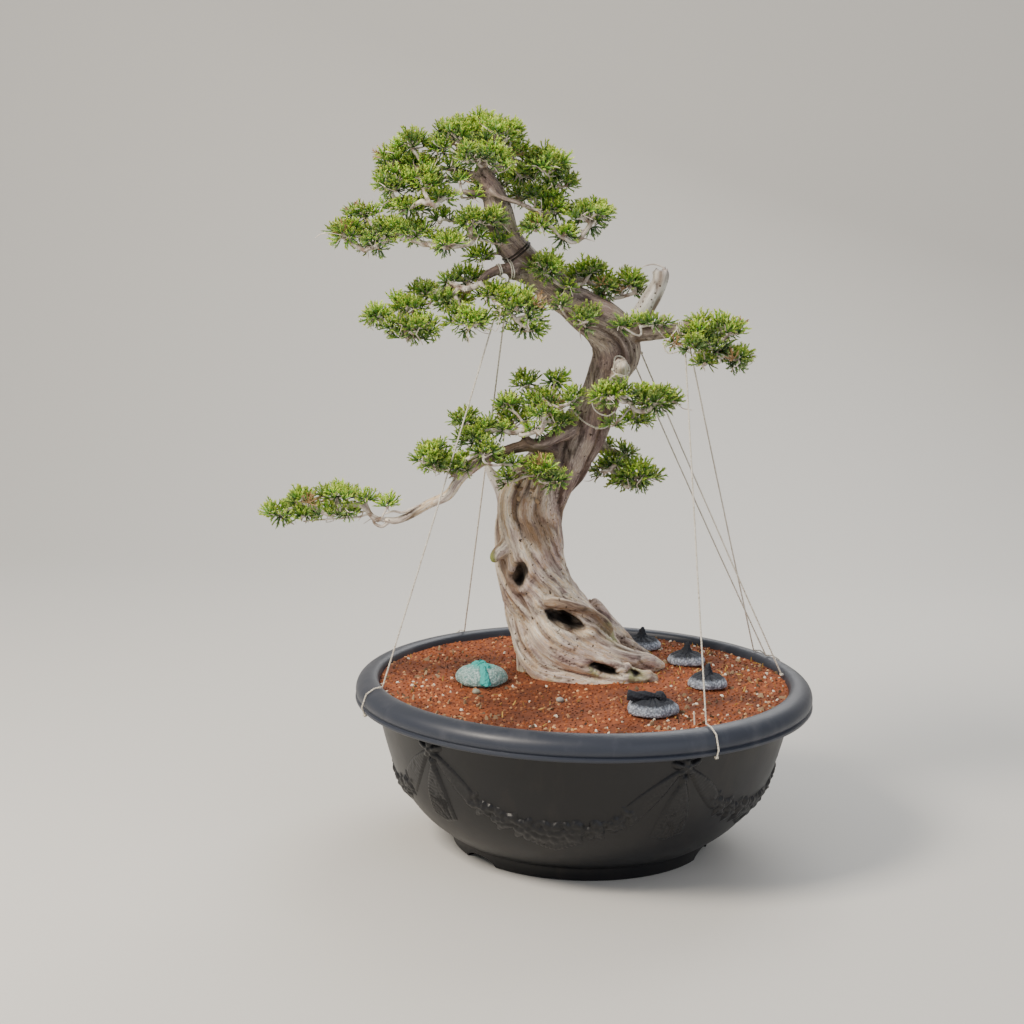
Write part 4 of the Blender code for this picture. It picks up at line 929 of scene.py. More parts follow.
swell, groove, fine, furrow, crack = (
    share * a + (1 - share) * b for a, b in zip(grooves(grain_near, 40), grooves(grain_next, 40)))
thick = np.clip(np.array([max(row[3] for row in rows) for _, rows in limbs])[owner] / 22.0, 0.12, 1.0)
width_here = np.clip(np.linalg.norm(grain_near[:, :2], axis=1) / 22.0, 0.14, 1.0)
lift = width_here * (thick * (5.0 * swell + 2.4 * groove - 4.2 * furrow) + (0.9 * fine - 2.2 * crack))
lift *= np.clip(0.6 + 0.4 * dead, 0, 1)
rim, hollow_shade = np.zeros(count), np.zeros(count)
for centre, halves, lean in HOLLOWS:
    turn = np.array(Matrix.Rotation(math.radians(lean), 3, "Y"))
    offset = (skin_points - np.array(centre)) @ turn
    across = np.linalg.norm(offset[:, [0, 2]] / np.array(halves)[[0, 2]], axis=1)
    facing = (np.abs(offset[:, 1]) < halves[1] + 14) & (normals[:, 1] < 0.2)
    rim = np.maximum(rim, np.where(facing, np.exp(-((across - 1.42) / 0.28) ** 2), 0))
    inside = np.linalg.norm(offset / np.array(halves), axis=1)
    hollow_shade = np.maximum(hollow_shade, np.clip((1.16 - inside) * 6 - rim, 0, 1))
lift = lift * (1 - 0.7 * rim) + 2.6 * rim + 1.3 * thick
skin_points += normals * lift[:, None]
wood.data.vertices.foreach_set("co", placed(skin_points).ravel())
wood.data.update()


def near_to(centre, halves):
    """How far each point of the skin is from a centre, with the half sizes as one."""
    return np.linalg.norm((skin_points - np.array(centre)) / np.array(halves), axis=1)


damp_spots = np.clip((layered_noise(skin_points / 12.0, 77) - 0.44) * 6, 0, 1)
mossy = 0.6 * np.clip(1.0 - (skin_points[:, 2] - SOIL_TOP) / 14.0, 0, 1) * damp_spots
for centre, halves, _ in HOLLOWS[2:]:
    around = near_to(centre, np.array(halves) + 6)
    mossy = np.maximum(mossy, np.clip(1.3 - around, 0, 0.7) * damp_spots)
behind_strap = near_to((26, 33, 236), (16, 24, 24))
mossy = np.maximum(mossy, np.clip(1.4 - behind_strap, 0, 0.65) * (0.45 + 0.55 * damp_spots))
mossy = np.maximum(mossy, np.clip(1.5 - near_to((-108, 4, 322), (6, 12, 12)), 0, 1.2))
whiter = np.array([WHITENESS.get(name, 0.0) for name, _ in limbs])[owner]
# The low value marks the grooves and furrows, and the hollow value the inside of each hollow; the wood's
# material paints both with painted shade.
store(wood.data, {"grain": grain_near, "dead": dead, "crack": crack, "moss": mossy, "hollow": hollow_shade,
                  "low": np.clip(0.5 - groove + 0.45 * furrow, 0, 1), "white": whiter})

# Juniper wood: bare and bleached it is cream, tan and rose grey in long streaks, with painted shade
# in its grooves, cracks, pits and hollows. The bark is thin, grey brown and stringy. Green algae grow
# where damp stays.
juniper = Look("weathered_juniper_wood", Roughness=0.72)
grain = juniper.value("grain", "Vector")
streaks = juniper.noise(0.16, 5.0, grain, Roughness=0.6, Distortion=0.5)
hair = juniper.noise(0.9, 4.0, grain, Roughness=0.7)
bare = juniper.ramp(streaks, (0.28, "8b7b73"), (0.37, "b09f96"), (0.44, "d8cabd"), (0.5, "f2e9d8"),
                    (0.56, "dfc49c"), (0.62, "f5ecde"), (0.74, "f7f1e8"))
bark = juniper.ramp(streaks, (0.3, "544840"), (0.41, "83736a"), (0.5, "a2938a"), (0.6, "b2a191"),
                    (0.72, "d2c7bc"))
ragged = juniper.ranged(hair, 0.35, 0.65, -0.4, 0.4)
tone = juniper.mixed(juniper.maths("ADD", juniper.value("dead"), ragged, clamp=True), bark, bare)
bleached = juniper.mixed(streaks, "b4afa8", "f4f1ea")
tone = juniper.mixed(juniper.maths("MULTIPLY", juniper.value("white"), 0.95), tone, bleached)
rose = juniper.ranged(juniper.noise(26.0, 4.0), 0.48, 0.62, 0.0, 0.65)
tone = juniper.mixed(rose, tone, "c9b4ba", "MULTIPLY")
tone = juniper.scaled(tone, juniper.ranged(hair, 0.3, 0.7, 0.72, 1.16))
# Grooves and furrows are painted darker: painted shade.
groove_shade = juniper.ranged(juniper.value("low"), 0.5, 0.85, 0.0, 0.85)
tone = juniper.mixed(groove_shade, tone, "8a7460", "MULTIPLY")
# Cracks and small pits are painted dark brown: painted shade.
pits = juniper.ranged(juniper.noise(260.0, 1.0), 0.68, 0.74)
crack_and_pit_shade = juniper.maths("MULTIPLY_ADD", juniper.value("crack"), 0.85, pits, clamp=True)
tone = juniper.mixed(crack_and_pit_shade, tone, "3b2c21")
algae = juniper.ranged(juniper.maths("MULTIPLY", juniper.value("moss"), hair), 0.1, 0.5, 0.0, 0.85)
tone = juniper.mixed(algae, tone, "8c9a4c")
# The inside of each hollow is painted nearly black: painted shade.
juniper.drive("Base Color", juniper.mixed(juniper.value("hollow"), tone, "17110c"))
fibres = juniper.add("ShaderNodeMix", {0: 0.4}, {2: hair, 3: streaks})
juniper.bump(fibres.outputs[0], 0.55, 0.0016)
wood.name = "trunk_and_branches"
wood.data.name = "trunk_and_branches"
wood.data.materials.clear()
wood.data.materials.append(juniper.material)
wood.data.polygons.foreach_set("material_index", [0] * len(wood.data.polygons))
wood.data.shade_smooth()
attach(wood, "root")
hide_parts("trunk")
wood_surface = BVHTree.FromPolygons([Vector(place) for place in skin_points],
                                    [tuple(face.vertices) for face in wood.data.polygons])


# Foliage pads
# Each pad is a fan of grey twigs from one branch end, and each twig ends in a tuft of cord-like
# shoots with forked tips, made of scale leaves: yellow green when young, deep green inside, partly
# as painted shade.

# Each pad is lobes of centre and half sizes.
PADS = {
    "apex": (
        (-153, -13, 799, 25, 34, 16), (-104, -27, 798, 29, 34, 17), (-129, 22, 805, 31, 30, 16),
        (-122, -54, 774, 30, 28, 16), (-171, -25, 784, 12, 14, 9), (-156, -30, 766, 9, 10, 6),
    ),
    "upper_left": ((-199, -27, 789, 18, 26, 11), (-222, -22, 771, 17, 26, 13), (-194, -5, 763, 20, 26, 12)),
    "crown_left": (
        (-218, -40, 745, 20, 28, 19), (-183, -44, 747, 24, 28, 17), (-166, -50, 732, 14, 20, 9),
        (-205, -40, 721, 27, 28, 8), (-196, -30, 766, 14, 17, 8), (-147, -30, 752, 12, 12, 5),
        (-132, -28, 734, 8, 10, 5),
    ),
    "long_left": (
        (-254, -11, 713, 16, 22, 8), (-269, -27, 690, 21, 30, 13), (-235, -34, 689, 17, 34, 18),
        (-197, -38, 694, 21, 32, 14), (-160, -50, 684, 20, 28, 10), (-129, -56, 708, 21, 22, 12),
        (-109, -52, 709, 11, 15, 10), (-219, -36, 697, 20, 22, 9), (-164, -40, 710, 12, 12, 6),
        (-127, -40, 691, 10, 10, 6), (-102, -34, 686, 10, 9, 8),
    ),
    "crown_right": (
        (-91, -5, 782, 18, 24, 11), (-53, -17, 768, 25, 36, 17), (-81, 13, 757, 20, 24, 10),
        (-56, -11, 771, 20, 22, 12), (-38, -14, 749, 17, 19, 10),
    ),
    "long_right": (
        (-47, -5, 732, 15, 24, 8), (-5, -13, 714, 23, 36, 16), (-61, -34, 703, 17, 24, 11),
        (-31, -22, 694, 13, 24, 9), (-47, -13, 723, 20, 22, 10), (-65, -13, 738, 11, 15, 7),
    ),
    "small_left": ((-123, -22, 668, 13, 14, 9),),
    "middle_left": (
        (-138, -14, 645, 16, 24, 9), (-186, -11, 629, 14, 24, 8), (-204, -22, 613, 20, 32, 11),
        (-236, -28, 603, 14, 26, 9), (-196, -44, 592, 32, 28, 12), (-133, -54, 600, 24, 26, 15),
        (-76, -52, 612, 30, 24, 24), (-158, -27, 620, 25, 26, 10), (-107, -40, 629, 20, 22, 10),
        (-157, -30, 641, 10, 10, 6), (-70, -40, 592, 20, 14, 6), (-200, -40, 581, 20, 14, 5),
    ),
    "shoulder": (
        (-55, 15, 657, 20, 22, 11), (-16, 23, 647, 12, 20, 9), (12, 25, 635, 15, 26, 16),
        (44, 29, 637, 15, 26, 16), (-55, -26, 659, 16, 14, 10), (-4, 15, 654, 16, 18, 9),
        (-52, -25, 654, 11, 8, 7), (-28, -20, 638, 9, 7, 6),
    ),
    "bend_sprig": (
        (-10, -36, 604, 15, 12, 10), (-36, -30, 619, 9, 7, 7), (-3, -26, 609, 9, 7, 8),
    ),
    "jin_foot": (
        (65, -16, 600, 26, 12, 7), (34, -22, 597, 8, 7, 6),
    ),
    "right": (
        (118, -18, 602, 10, 18, 7), (145, -28, 594, 19, 30, 14), (111, -44, 578, 13, 20, 9),
        (124, -36, 560, 13, 20, 9), (160, -30, 566, 15, 22, 9), (118, -30, 589, 15, 17, 10),
        (159, -28, 563, 15, 17, 11), (135, -36, 577, 16, 18, 10), (90, -20, 578, 8, 8, 6),
    ),
    "front_right": (
        (28, -46, 525, 20, 16, 10), (70, -30, 518, 28, 28, 12), (53, -11, 493, 18, 20, 8),
        (17, -50, 523, 15, 14, 9), (71, -30, 513, 18, 20, 9), (26, -22, 488, 8, 8, 6),
    ),
    "centre_left": (
        (-72, -3, 530, 13, 20, 9), (-39, -11, 535, 13, 16, 7), (-19, -30, 518, 12, 12, 10),
        (-49, -40, 499, 16, 16, 7), (-91, -14, 506, 13, 22, 8), (-139, -16, 487, 14, 22, 10),
        (-129, -34, 469, 20, 24, 11), (-85, 3, 487, 20, 20, 12), (-50, -20, 512, 25, 26, 10),
        (-37, -26, 491, 16, 18, 9), (-117, -30, 483, 11, 15, 9), (-97, -30, 480, 12, 10, 6),
        (-59, -28, 480, 12, 9, 6),
    ),
    "low_left": (
        (-173, -50, 450, 20, 30, 17), (-145, -38, 440, 20, 26, 10), (-115, -52, 457, 15, 16, 10),
        (-156, -40, 441, 18, 20, 10), (-86, -40, 444, 16, 10, 6),
    ),
    "trunk_front": (
        (-50, -32, 433, 23, 14, 15), (-91, -18, 425, 10, 12, 11), (-36, -38, 427, 14, 12, 9),
    ),
    "back_right": (
        (18, 55, 451, 9, 12, 7), (42, 33, 448, 10, 16, 7), (53, 35, 423, 28, 30, 14),
        (16, 65, 424, 11, 14, 8), (26, 35, 434, 15, 17, 9), (40, 42, 414, 15, 12, 5),
    ),
    "long_branch": (
        (-337, -60, 387, 20, 26, 9), (-314, -56, 402, 16, 28, 9), (-276, -52, 407, 21, 30, 9),
        (-244, -54, 402, 10, 16, 7), (-220, -58, 397, 9, 10, 7), (-278, -58, 389, 34, 28, 5),
        (-317, -60, 386, 18, 22, 5),
    ),
    "crown_back": ((-111, 55, 748, 32, 18, 13), (-79, 43, 734, 20, 18, 10)),
    "middle_back": ((-65, 81, 649, 32, 20, 12), (-28, 73, 637, 18, 18, 10)),
    "lower_back": ((-14, 92, 471, 26, 20, 10),),
}
TUFTS_PER_AREA = 1 / 54.0
TUFT_SPACING = 7.5
FEWEST_TUFTS = 4
MOST_TRIES = 500
SHORTEST_SHOOT, LONGEST_SHOOT = 10.0, 14.5
FORKS = (0.25, 0.5, 0.75)
TUFT_MOULDS = ((1.15, 8), (1.3, 9), (1.5, 9), (1.0, 7), (1.4, 9))
TWIG_SIDES = 4


def ring_of_three(centre, heading, size, side):
    """Three points round a place, square to its heading."""
    one = unit(side - heading * np.dot(side, heading))
    two = np.cross(heading, one)
    turns = [2 * math.pi * k / 3 for k in range(3)]
    return [centre + size * (math.cos(turn) * one + math.sin(turn) * two) for turn in turns]


def stick(points, faces, young, rows, side):
    """A three-sided stick with closed ends along rows of place, heading, radius and youth."""
    start = len(points)
    for centre, heading, size, age in rows:
        points += ring_of_three(centre, heading, size, side)
        young += [age] * 3
    for i in range(len(rows) - 1):
        for k in range(3):
            m = (k + 1) % 3
            low = start + 3 * i
            faces.append((low + k, low + m, low + 3 + m, low + 3 + k))
    last = start + 3 * (len(rows) - 1)
    faces += [(start + 2, start + 1, start), (last, last + 1, last + 2)]


def prong(points, faces, young, base, tip, radius, side):
    """A short three-sided spike, closed at its foot."""
    start = len(points)
    points += ring_of_three(base, unit(tip - base), radius, side) + [tip]
    young += [0.5, 0.5, 0.5, 1.0]
    faces += [(start + k, start + (k + 1) % 3, start + 3) for k in range(3)]
    faces.append((start + 2, start + 1, start))


def shoot(points, faces, young, base, way, length, chance):
    """A cord-like shoot of scale leaves that bends upwards, with three short forks near its tip."""
    side = unit(np.cross(way, (0.31, 0.52, 0.79)))
    lifted = unit(way + np.array((chance.uniform(-0.2, 0.2), chance.uniform(-0.2, 0.2), 0.3)))
    radius = chance.uniform(0.72, 0.92)
    middle = base + way * length * 0.5
    end = middle + lifted * length * 0.5
    stick(points, faces, young, [(base, way, radius * 0.75, 0.0), (middle, way, radius, 0.5),
                                 (end, lifted, radius * 0.6, 1.0)], side)
    flat = np.cross(way, side)
    for number, at in enumerate(FORKS):
        root = middle + (end - middle) * (at - 0.1)
        lean = unit(side * (0.75 if number % 2 else -0.75) + flat * chance.uniform(-0.5, 0.5) + lifted)
        reach = length * chance.uniform(0.24, 0.36)
        prong(points, faces, young, root, root + lean * reach, radius * 1.15, side)


def tuft_mould(name, seed, spread, count):
    """One tuft of shoots fanned out round its root, pointing up, as a mould."""
    chance = random.Random(seed)
    points, faces, young = [], [], []
    for k in range(count):
        turn = 2.4 * k + chance.uniform(-0.3, 0.3)
        fall = spread * math.sqrt((k + 0.4) / count) + chance.uniform(-0.1, 0.1)
        way = np.array((math.sin(fall) * math.cos(turn), math.sin(fall) * math.sin(turn), math.cos(fall)))
        length = chance.uniform(SHORTEST_SHOOT, LONGEST_SHOOT)
        shoot(points, faces, young, way * 0.5, way, length, chance)
    mesh = bpy.data.meshes.new(name)
    mesh.from_pydata((np.array(points) * MM).tolist(), [], faces)
    store(mesh, {"young": young})
    return bpy.data.objects.new(name, mesh)


def pad_tree():
    """Twigs along a skeleton's edges and a tuft on each of its points that has a tuft size."""
    tree, keys, given = geometry_tree("foliage_pad", {
        "Skeleton": "Geometry", "Tufts": "Collection", "Twig sides": "Int", "Twig look": "Material",
        "Tuft look": "Material", "Seed": "Int"}, "Pad")
    size = add(tree, "GeometryNodeInputNamedAttribute", {"data_type": "FLOAT", "Name": "tuft_size"})
    way = add(tree, "GeometryNodeInputNamedAttribute", {"data_type": "FLOAT_VECTOR", "Name": "tuft_way"})
    radius = add(tree, "GeometryNodeInputNamedAttribute", {"data_type": "FLOAT", "Name": "twig_radius"})
    bears = add(tree, "FunctionNodeCompare", {"data_type": "FLOAT", "operation": "GREATER_THAN", 1: 0.01},
                {0: size.outputs[0]})
    moulds = add(tree, "GeometryNodeCollectionInfo", {"Separate Children": True, "Reset Children": True},
                 {"Collection": given["Tufts"]})
    facing = add(tree, "FunctionNodeAlignRotationToVector", {"axis": "Z"}, {"Vector": way.outputs[0]})
    angle = add(tree, "FunctionNodeRandomValue", {"data_type": "FLOAT", 3: 6.283}, {"Seed": given["Seed"]})
    spin = add(tree, "FunctionNodeAxisAngleToRotation", {"Axis": (0, 0, 1)}, {"Angle": angle.outputs[1]})
    turned = add(tree, "FunctionNodeRotateRotation", {"rotation_space": "LOCAL"},
                 {"Rotation": facing.outputs[0], "Rotate By": spin.outputs[0]})
    tufts = add(tree, "GeometryNodeInstanceOnPoints", {"Pick Instance": True},
                {"Points": given["Skeleton"], "Selection": bears.outputs[0], "Instance": moulds.outputs[0],
                 "Rotation": turned.outputs[0], "Scale": size.outputs[0]})
    tufts = add(tree, "GeometryNodeSetMaterial",
                links={"Geometry": tufts.outputs[0], "Material": given["Tuft look"]})
    lines = add(tree, "GeometryNodeMeshToCurve", links={"Mesh": given["Skeleton"]})
    lines = add(tree, "GeometryNodeCurveSplineType", {"spline_type": "CATMULL_ROM"},
                {"Curve": lines.outputs[0]})
    lines = add(tree, "GeometryNodeSetSplineResolution", {"Resolution": 2}, {"Geometry": lines.outputs[0]})
    round_line = add(tree, "GeometryNodeCurvePrimitiveCircle", {"Radius": 1.0},
                     {"Resolution": given["Twig sides"]})
    twigs = add(tree, "GeometryNodeCurveToMesh", {"Fill Caps": True},
                {"Curve": lines.outputs[0], "Profile Curve": round_line.outputs[0],
                 "Scale": radius.outputs[0]})
    twigs = add(tree, "GeometryNodeSetMaterial",
                links={"Geometry": twigs.outputs[0], "Material": given["Twig look"]})
    both = add(tree, "GeometryNodeJoinGeometry")
    tree.links.new(tufts.outputs[0], both.inputs[0])
    tree.links.new(twigs.outputs[0], both.inputs[0])
    real = add(tree, "GeometryNodeRealizeInstances", links={0: both.outputs[0]})
    add(tree, "NodeGroupOutput", links={0: real.outputs[0]})
    return tree, keys


# Scale leaves: waxy, so a little sheen, and light comes through the thin tips. The young tips are
# yellow green and the bases deep green, partly as painted shade inside the tuft. Tufts on a pad's
# top get painted sunlit colours and the others painted shaded ones, and a few have died.
leaf = Look("juniper_scale_leaves", Roughness=0.48, Subsurface_Weight=0.1, Subsurface_Scale=0.002)
young, tint = leaf.value("young"), leaf.value("tint")
# Shoots darken from tip to base, partly by age and partly as painted shade inside the tuft.
in_sun = leaf.ramp(young, (0.0, "284813"), (0.5, "659a27"), (1.0, "d6e25c"))
in_shade = leaf.ramp(young, (0.0, "172410"), (0.55, "385c26"), (1.0, "7d955a"))
# Painted sunlight and shade: tufts on a pad's top, and noise patches, take the sunlit colours.
patches = leaf.maths("ADD", leaf.noise(32.0, 3.0), -0.5)
sunny = leaf.maths("MULTIPLY_ADD", patches, 2.6, leaf.value("sun"), clamp=True)
scales = leaf.ranged(leaf.noise(900.0, 2.0), 0.3, 0.7, 0.8, 1.18)
bright = leaf.maths("MULTIPLY", leaf.ranged(tint, 0.0, 1.0, 0.8, 1.5), scales)
tone = leaf.scaled(leaf.mixed(sunny, in_shade, in_sun), bright)
leaf.drive("Base Color", leaf.mixed(leaf.maths("LESS_THAN", tint, 0.02), tone, "a98a62"))

# Twig bark: thin and smooth, rose grey to nearly white.
twig = Look("juniper_twig_bark", Roughness=0.8)
mottle = twig.noise(110.0, 4.0)
twig.drive("Base Color", twig.ramp(mottle, (0.34, "8b7666"), (0.62, "e6ddd2")))
twig.bump(mottle, 0.5, 0.0006)


def skeleton_of(name, branch, lobes, chance):
    """The pad's twigs as points and edges from the branch end, and where its tufts sit."""
    def scattered(*spreads):
        """A step at random with a spread for each axis."""
        return np.array([chance.gauss(0, spread) for spread in spreads])

    end = np.array(branch[-1][:3], float)
    along = unit(end - np.array(branch[-2][:3], float))
    places, parents = [end - along * 2, end + along * 4], [-1, 0]
    headings = [along, along]
    tips = {}

    def reach_for(target, bend):
        """Grows a bent twig to a place from the best point of what has grown."""
        best_cost, best_at = 1e9, 0
        for i, place in enumerate(places):
            if i in tips:
                continue
            gap = target - place
            size = np.linalg.norm(gap)
            cost = size * (1.35 - 0.35 * np.dot(gap, headings[i]) / max(size, 1e-6))
            if size > 2.0 and cost < best_cost:
                best_cost, best_at = cost, i
        start = places[best_at]
        gap = target - start
        size = np.linalg.norm(gap)
        steps = max(2, min(7, round(size / 6.0)))
        last = best_at
        for k in range(1, steps + 1):
            t = k / steps
            ahead = start + headings[best_at] * size * 0.45 * t
            place = (ahead * (1 - t) + (start + gap * t) * t) if k < steps else target
            if k < steps:
                place = place + math.sin(math.pi * t) * bend + scattered(0.7, 0.7, 0.7)
            headings.append(unit(place - places[last]))
            places.append(place)
            parents.append(last)
            last = len(places) - 1
        return last

    anchors = [np.array(lobe[:3], float) - np.array((0, lobe[4] * 0.35, lobe[5] * 0.7)) for lobe in lobes]
    for i in sorted(range(len(lobes)), key=lambda i: np.linalg.norm(anchors[i] - end)):
        reach_for(anchors[i], np.array((chance.gauss(0, 3), chance.gauss(-2, 5), chance.gauss(-3, 3))))
    wanted = []
    for lobe in lobes:
        centre = np.array(lobe[:3], float) - (0, 0, 2.5)
        half = np.array(lobe[3:], float) + (0, 0, 1)
        area = math.pi * (half[0] * half[1] + half[0] * half[2] + half[1] * half[2]) / 3
        count = 0
        for _ in range(MOST_TRIES):
            if count >= max(FEWEST_TUFTS, round(area * TUFTS_PER_AREA)):
                break
            way = unit(np.array([chance.gauss(0, 1), chance.gauss(0, 1), chance.gauss(0.45, 0.9)]))
            if way[2] < -0.25 and chance.random() < 0.75:
                continue
            place = centre + way * half * chance.uniform(0.45, 1.0)
            if all(np.linalg.norm(place - other[0]) > TUFT_SPACING for other in wanted):
                count += 1
                facing = way / half * half.mean() + np.array((0, 0, 0.75))
                facing += 0.3 * (place - end) / max(np.linalg.norm(place - end), 20.0)
                facing += scattered(0.22, 0.22, 0.22)
                # Tufts facing up get a larger share of the painted sunlit colours.
                sunny = float(np.clip(0.5 + 0.5 * way[2] + chance.gauss(0, 0.15), 0, 1))
                wanted.append((place, unit(facing), sunny))
    wanted.sort(key=lambda w: min(np.linalg.norm(w[0] - a) for a in anchors))
    for place, facing, sunny in wanted:
        tip = reach_for(place - facing * 4.0, np.array((0, 0, chance.gauss(-1.0, 1.5))))
        tips[tip] = (facing, sunny)
    bare = set()
    for place, facing, _ in wanted[::4]:
        away = np.array([chance.gauss(0, 10), chance.gauss(-9, 8), chance.gauss(-6, 5)])
        bare.add(reach_for(place + away, scattered(3, 3, 3)))
    bears = np.zeros(len(places))
    for tip in tips:
        at = tip
        while at >= 0:
            bears[at] += 1
            at = parents[at]
    radii = np.clip(0.78 * np.maximum(bears, 0.4) ** 0.34, 0.6, branch[-1][3] * 0.95)
    radii[list(bare)] = 0.3
    mesh = bpy.data.meshes.new(name)
    mesh.from_pydata(placed(places).tolist(), [(i, p) for i, p in enumerate(parents) if p >= 0], [])
    sizes = np.zeros(len(places))
    ways = np.tile((0.0, 0.0, 1.0), (len(places), 1))
    suns, tints = np.zeros(len(places)), np.zeros(len(places))
    for tip, (facing, sunny) in tips.items():
        sizes[tip] = chance.uniform(0.85, 1.15)
        ways[tip], suns[tip], tints[tip] = facing, sunny, chance.random()
    store(mesh, {"tuft_size": sizes, "twig_radius": radii * MM, "sun": suns, "tint": tints, "tuft_way": ways})
    return bpy.data.objects.new(name, mesh)


tufts = bpy.data.collections.new("tuft_moulds")
for k, (spread, shoots) in enumerate(TUFT_MOULDS):
    tufts.objects.link(tuft_mould(f"tuft_mould_{k}", 60 + k, spread, shoots))
foliage_tree, foliage_keys = pad_tree()
for number, (name, lobes) in enumerate(PADS.items()):
    branch = {"apex": TRUNK, "long_branch": BRANCHES["long"]}.get(name) or BRANCHES[name]
    skeleton = skeleton_of(name, branch, lobes, random.Random(300 + number))
    pad = made_by_nodes("foliage_pad_" + name, skeleton, foliage_tree, foliage_keys, {
        "Tufts": tufts, "Twig sides": TWIG_SIDES, "Twig look": twig.material, "Tuft look": leaf.material,
        "Seed": number})
    bpy.data.objects.remove(skeleton, do_unlink=True)
    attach(pad, "root")
    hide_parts("foliage_" + name)
discard(tufts)


# Guy cords
# Natural string, laid from three thin strands, holds the branches down. Four are hitched round
# their branch. Each runs straight to the pot; five go over the rim to a knot under the lip and one stops
# inside it.

# Each cord: its tied end, where it crosses the rim in degrees from the front, and whether it goes
# over the rim or stops inside it
GUYS = (
    ("left_front", (-95.0, -32.0, 642.0), -68.0, True),
    ("left_back", (-92.1, -19.4, 642.4), -141.5, True),
    ("right_front", (102.0, -16.5, 578.0), 32.6, True),
    ("right_back", (105.9, -8.6, 580.0), 121.8, True),
    ("trunk_back", (46.5, 41.0, 550.3), 115.5, True),
    ("trunk_right", (53.5, 31.1, 564.1), 98.3, False),
)
OVER_RIM = ((238.5, 196.0), (247.5, 195.0), (257.0, 189.0), (262.2, 174.0), (258.0, 163.5))
INSIDE_RIM = ((231.1, 189.0),)
CORD_DIAMETER = 2.0
GUY_SAG = 2.5
STRANDS = 3
STRAND_PITCH = 9.0
STRAIGHT_POINTS = 3
ROUTE_STEP = 1.8
TAIL_STEP = 1.5
HITCH_TURNS = (-1.1, 1.1)
LOOP_POINTS = 48
LOOP_EVENING = 4


def guy_route(top, azimuth, over):
    """The cord's centre line from its tied end to the rim and under its lip."""
    angle = math.radians(azimuth)
    rim = [np.array((r * math.sin(angle), -r * math.cos(angle), z))
           for r, z in (OVER_RIM if over else INSIDE_RIM)]
    start = np.array(top)
    route = []
    for k in range(STRAIGHT_POINTS):
        t = k / STRAIGHT_POINTS
        place = start + (rim[0] - start) * t
        place[2] -= GUY_SAG * 4 * t * (1 - t)
        route.append(place)
    return route + rim


def evenly(rows, step):
    """Points a step apart along a line."""
    rows = np.asarray(rows, float)
    run = run_along(rows)
    at = np.linspace(0, run[-1], max(2, round(run[-1] / step)))
    return np.stack([np.interp(at, run, rows[:, i]) for i in range(3)], axis=1)


def string_shape(line, diameter):
    """Strands laid round each other along a line."""
    way = units(np.gradient(line, axis=0))
    one = units(np.cross(way, (0.37, 0.21, 0.11)))
    two = np.cross(way, one)
    shapes = []
    for strand in range(STRANDS):
        turn = 2 * np.pi * (run_along(line) / STRAND_PITCH + strand / STRANDS)
        offset = diameter * 0.25 * (np.cos(turn)[:, None] * one + np.sin(turn)[:, None] * two)
        shapes.append(rod(line + offset, diameter * 0.27, 5))
    return joined(shapes)


# Natural fibre string: pale, matt and slightly hairy, flecked lighter and darker.
string = Look("natural_fibre_string", Roughness=0.85, Sheen_Weight=0.2, Sheen_Roughness=0.4)
string.drive("Base Color", string.ramp(string.noise(700.0, 3.0), (0.3, "a89c88"), (0.6, "e9e4d8")))


def loop_round(centre, axis, reach, drop=0.0, proud=1.0):
    """Points of a loop that hugs the wood round a point on its axis."""
    centre = np.array(centre, float)
    axis = unit(np.array(axis, float))
    across = unit(np.cross(axis, (0, 1, 0) if abs(axis[1]) < 0.7 else (1, 0, 0)))
    other = np.cross(axis, across)
    places = []
    for k in range(LOOP_POINTS):
        angle = 2 * math.pi * k / LOOP_POINTS
        way = math.cos(angle) * across + math.sin(angle) * other
        base = centre - np.array((0, 0, drop * max(0.0, -way[1])))
        hit = wood_surface.ray_cast(Vector(base + way * reach), Vector(-way), reach)[0]
        found = np.linalg.norm(np.array(hit) - base) if hit is not None else reach / 2
        places.append(base + way * (found + proud))
    places = np.array(places)
    for _ in range(LOOP_EVENING):
        places = (np.roll(places, 1, axis=0) + 2 * places + np.roll(places, -1, axis=0)) / 4
    return np.vstack([places, places[:1]])


def knot_shape(centre, size):
    """A small overhand knot: three crossing turns round a point."""
    turn = np.linspace(0, 2 * np.pi, 61)
    line = np.stack([np.sin(turn) + 2 * np.sin(2 * turn), np.cos(turn) - 2 * np.cos(2 * turn),
                     -1.2 * np.sin(3 * turn)], axis=1) * size / 3
    return rod(np.array(centre) + line, 0.95, 6)


HITCHES = {
    "left_front": ((-103, -29, 651.5), (-0.9, -0.4, -0.2), 12.0),
    "left_back": ((-92, -22, 654), (-0.9, -0.4, -0.1), 14.0),
    "right_front": ((102, -12, 592), (0.9, -0.3, 0.35), 16.0),
    "right_back": ((98, -10, 590), (0.9, -0.3, 0.35), 16.0),
}
for name, top, azimuth, over in GUYS:
    route = evenly(guy_route(top, azimuth, over), ROUTE_STEP)
    cord = solid("guy_string_" + name, *string_shape(route, CORD_DIAMETER), string)
    knots = [knot_shape(route[3], 1.6), knot_shape(route[-2], 1.7)]
    if name in HITCHES:
        centre, axis, reach = HITCHES[name]
        for shift in HITCH_TURNS:
            loop = loop_round(np.array(centre) + shift * np.array(axis), axis, reach)
            knots.append(rod(loop, 0.7, 6))
        low = loop[loop[:, 2].argmin()]
        knots.append(rod(evenly([low, top], TAIL_STEP), 0.9, 6))
    knot = solid("guy_string_knots_" + name, *joined(knots), string)
    length = run_along(route)[-1] * MM
    for piece in (cord, knot):
        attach(piece, "root")
    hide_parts("guy_cord_" + name)
    placed(route[0])
    placed(route)


# Ties on the wood
# A pale string round the trunk's front, another over the cut stub, and two turns of dark
# anodised aluminium training wire round the upper trunk.
wire = Look("anodised_training_wire", Base_Color=linear("3c342e"), Metallic=0.6, Roughness=0.45)
wire.drive("Roughness", wire.ranged(wire.noise(260.0, 3.0), 0.0, 1.0, 0.3, 0.65))
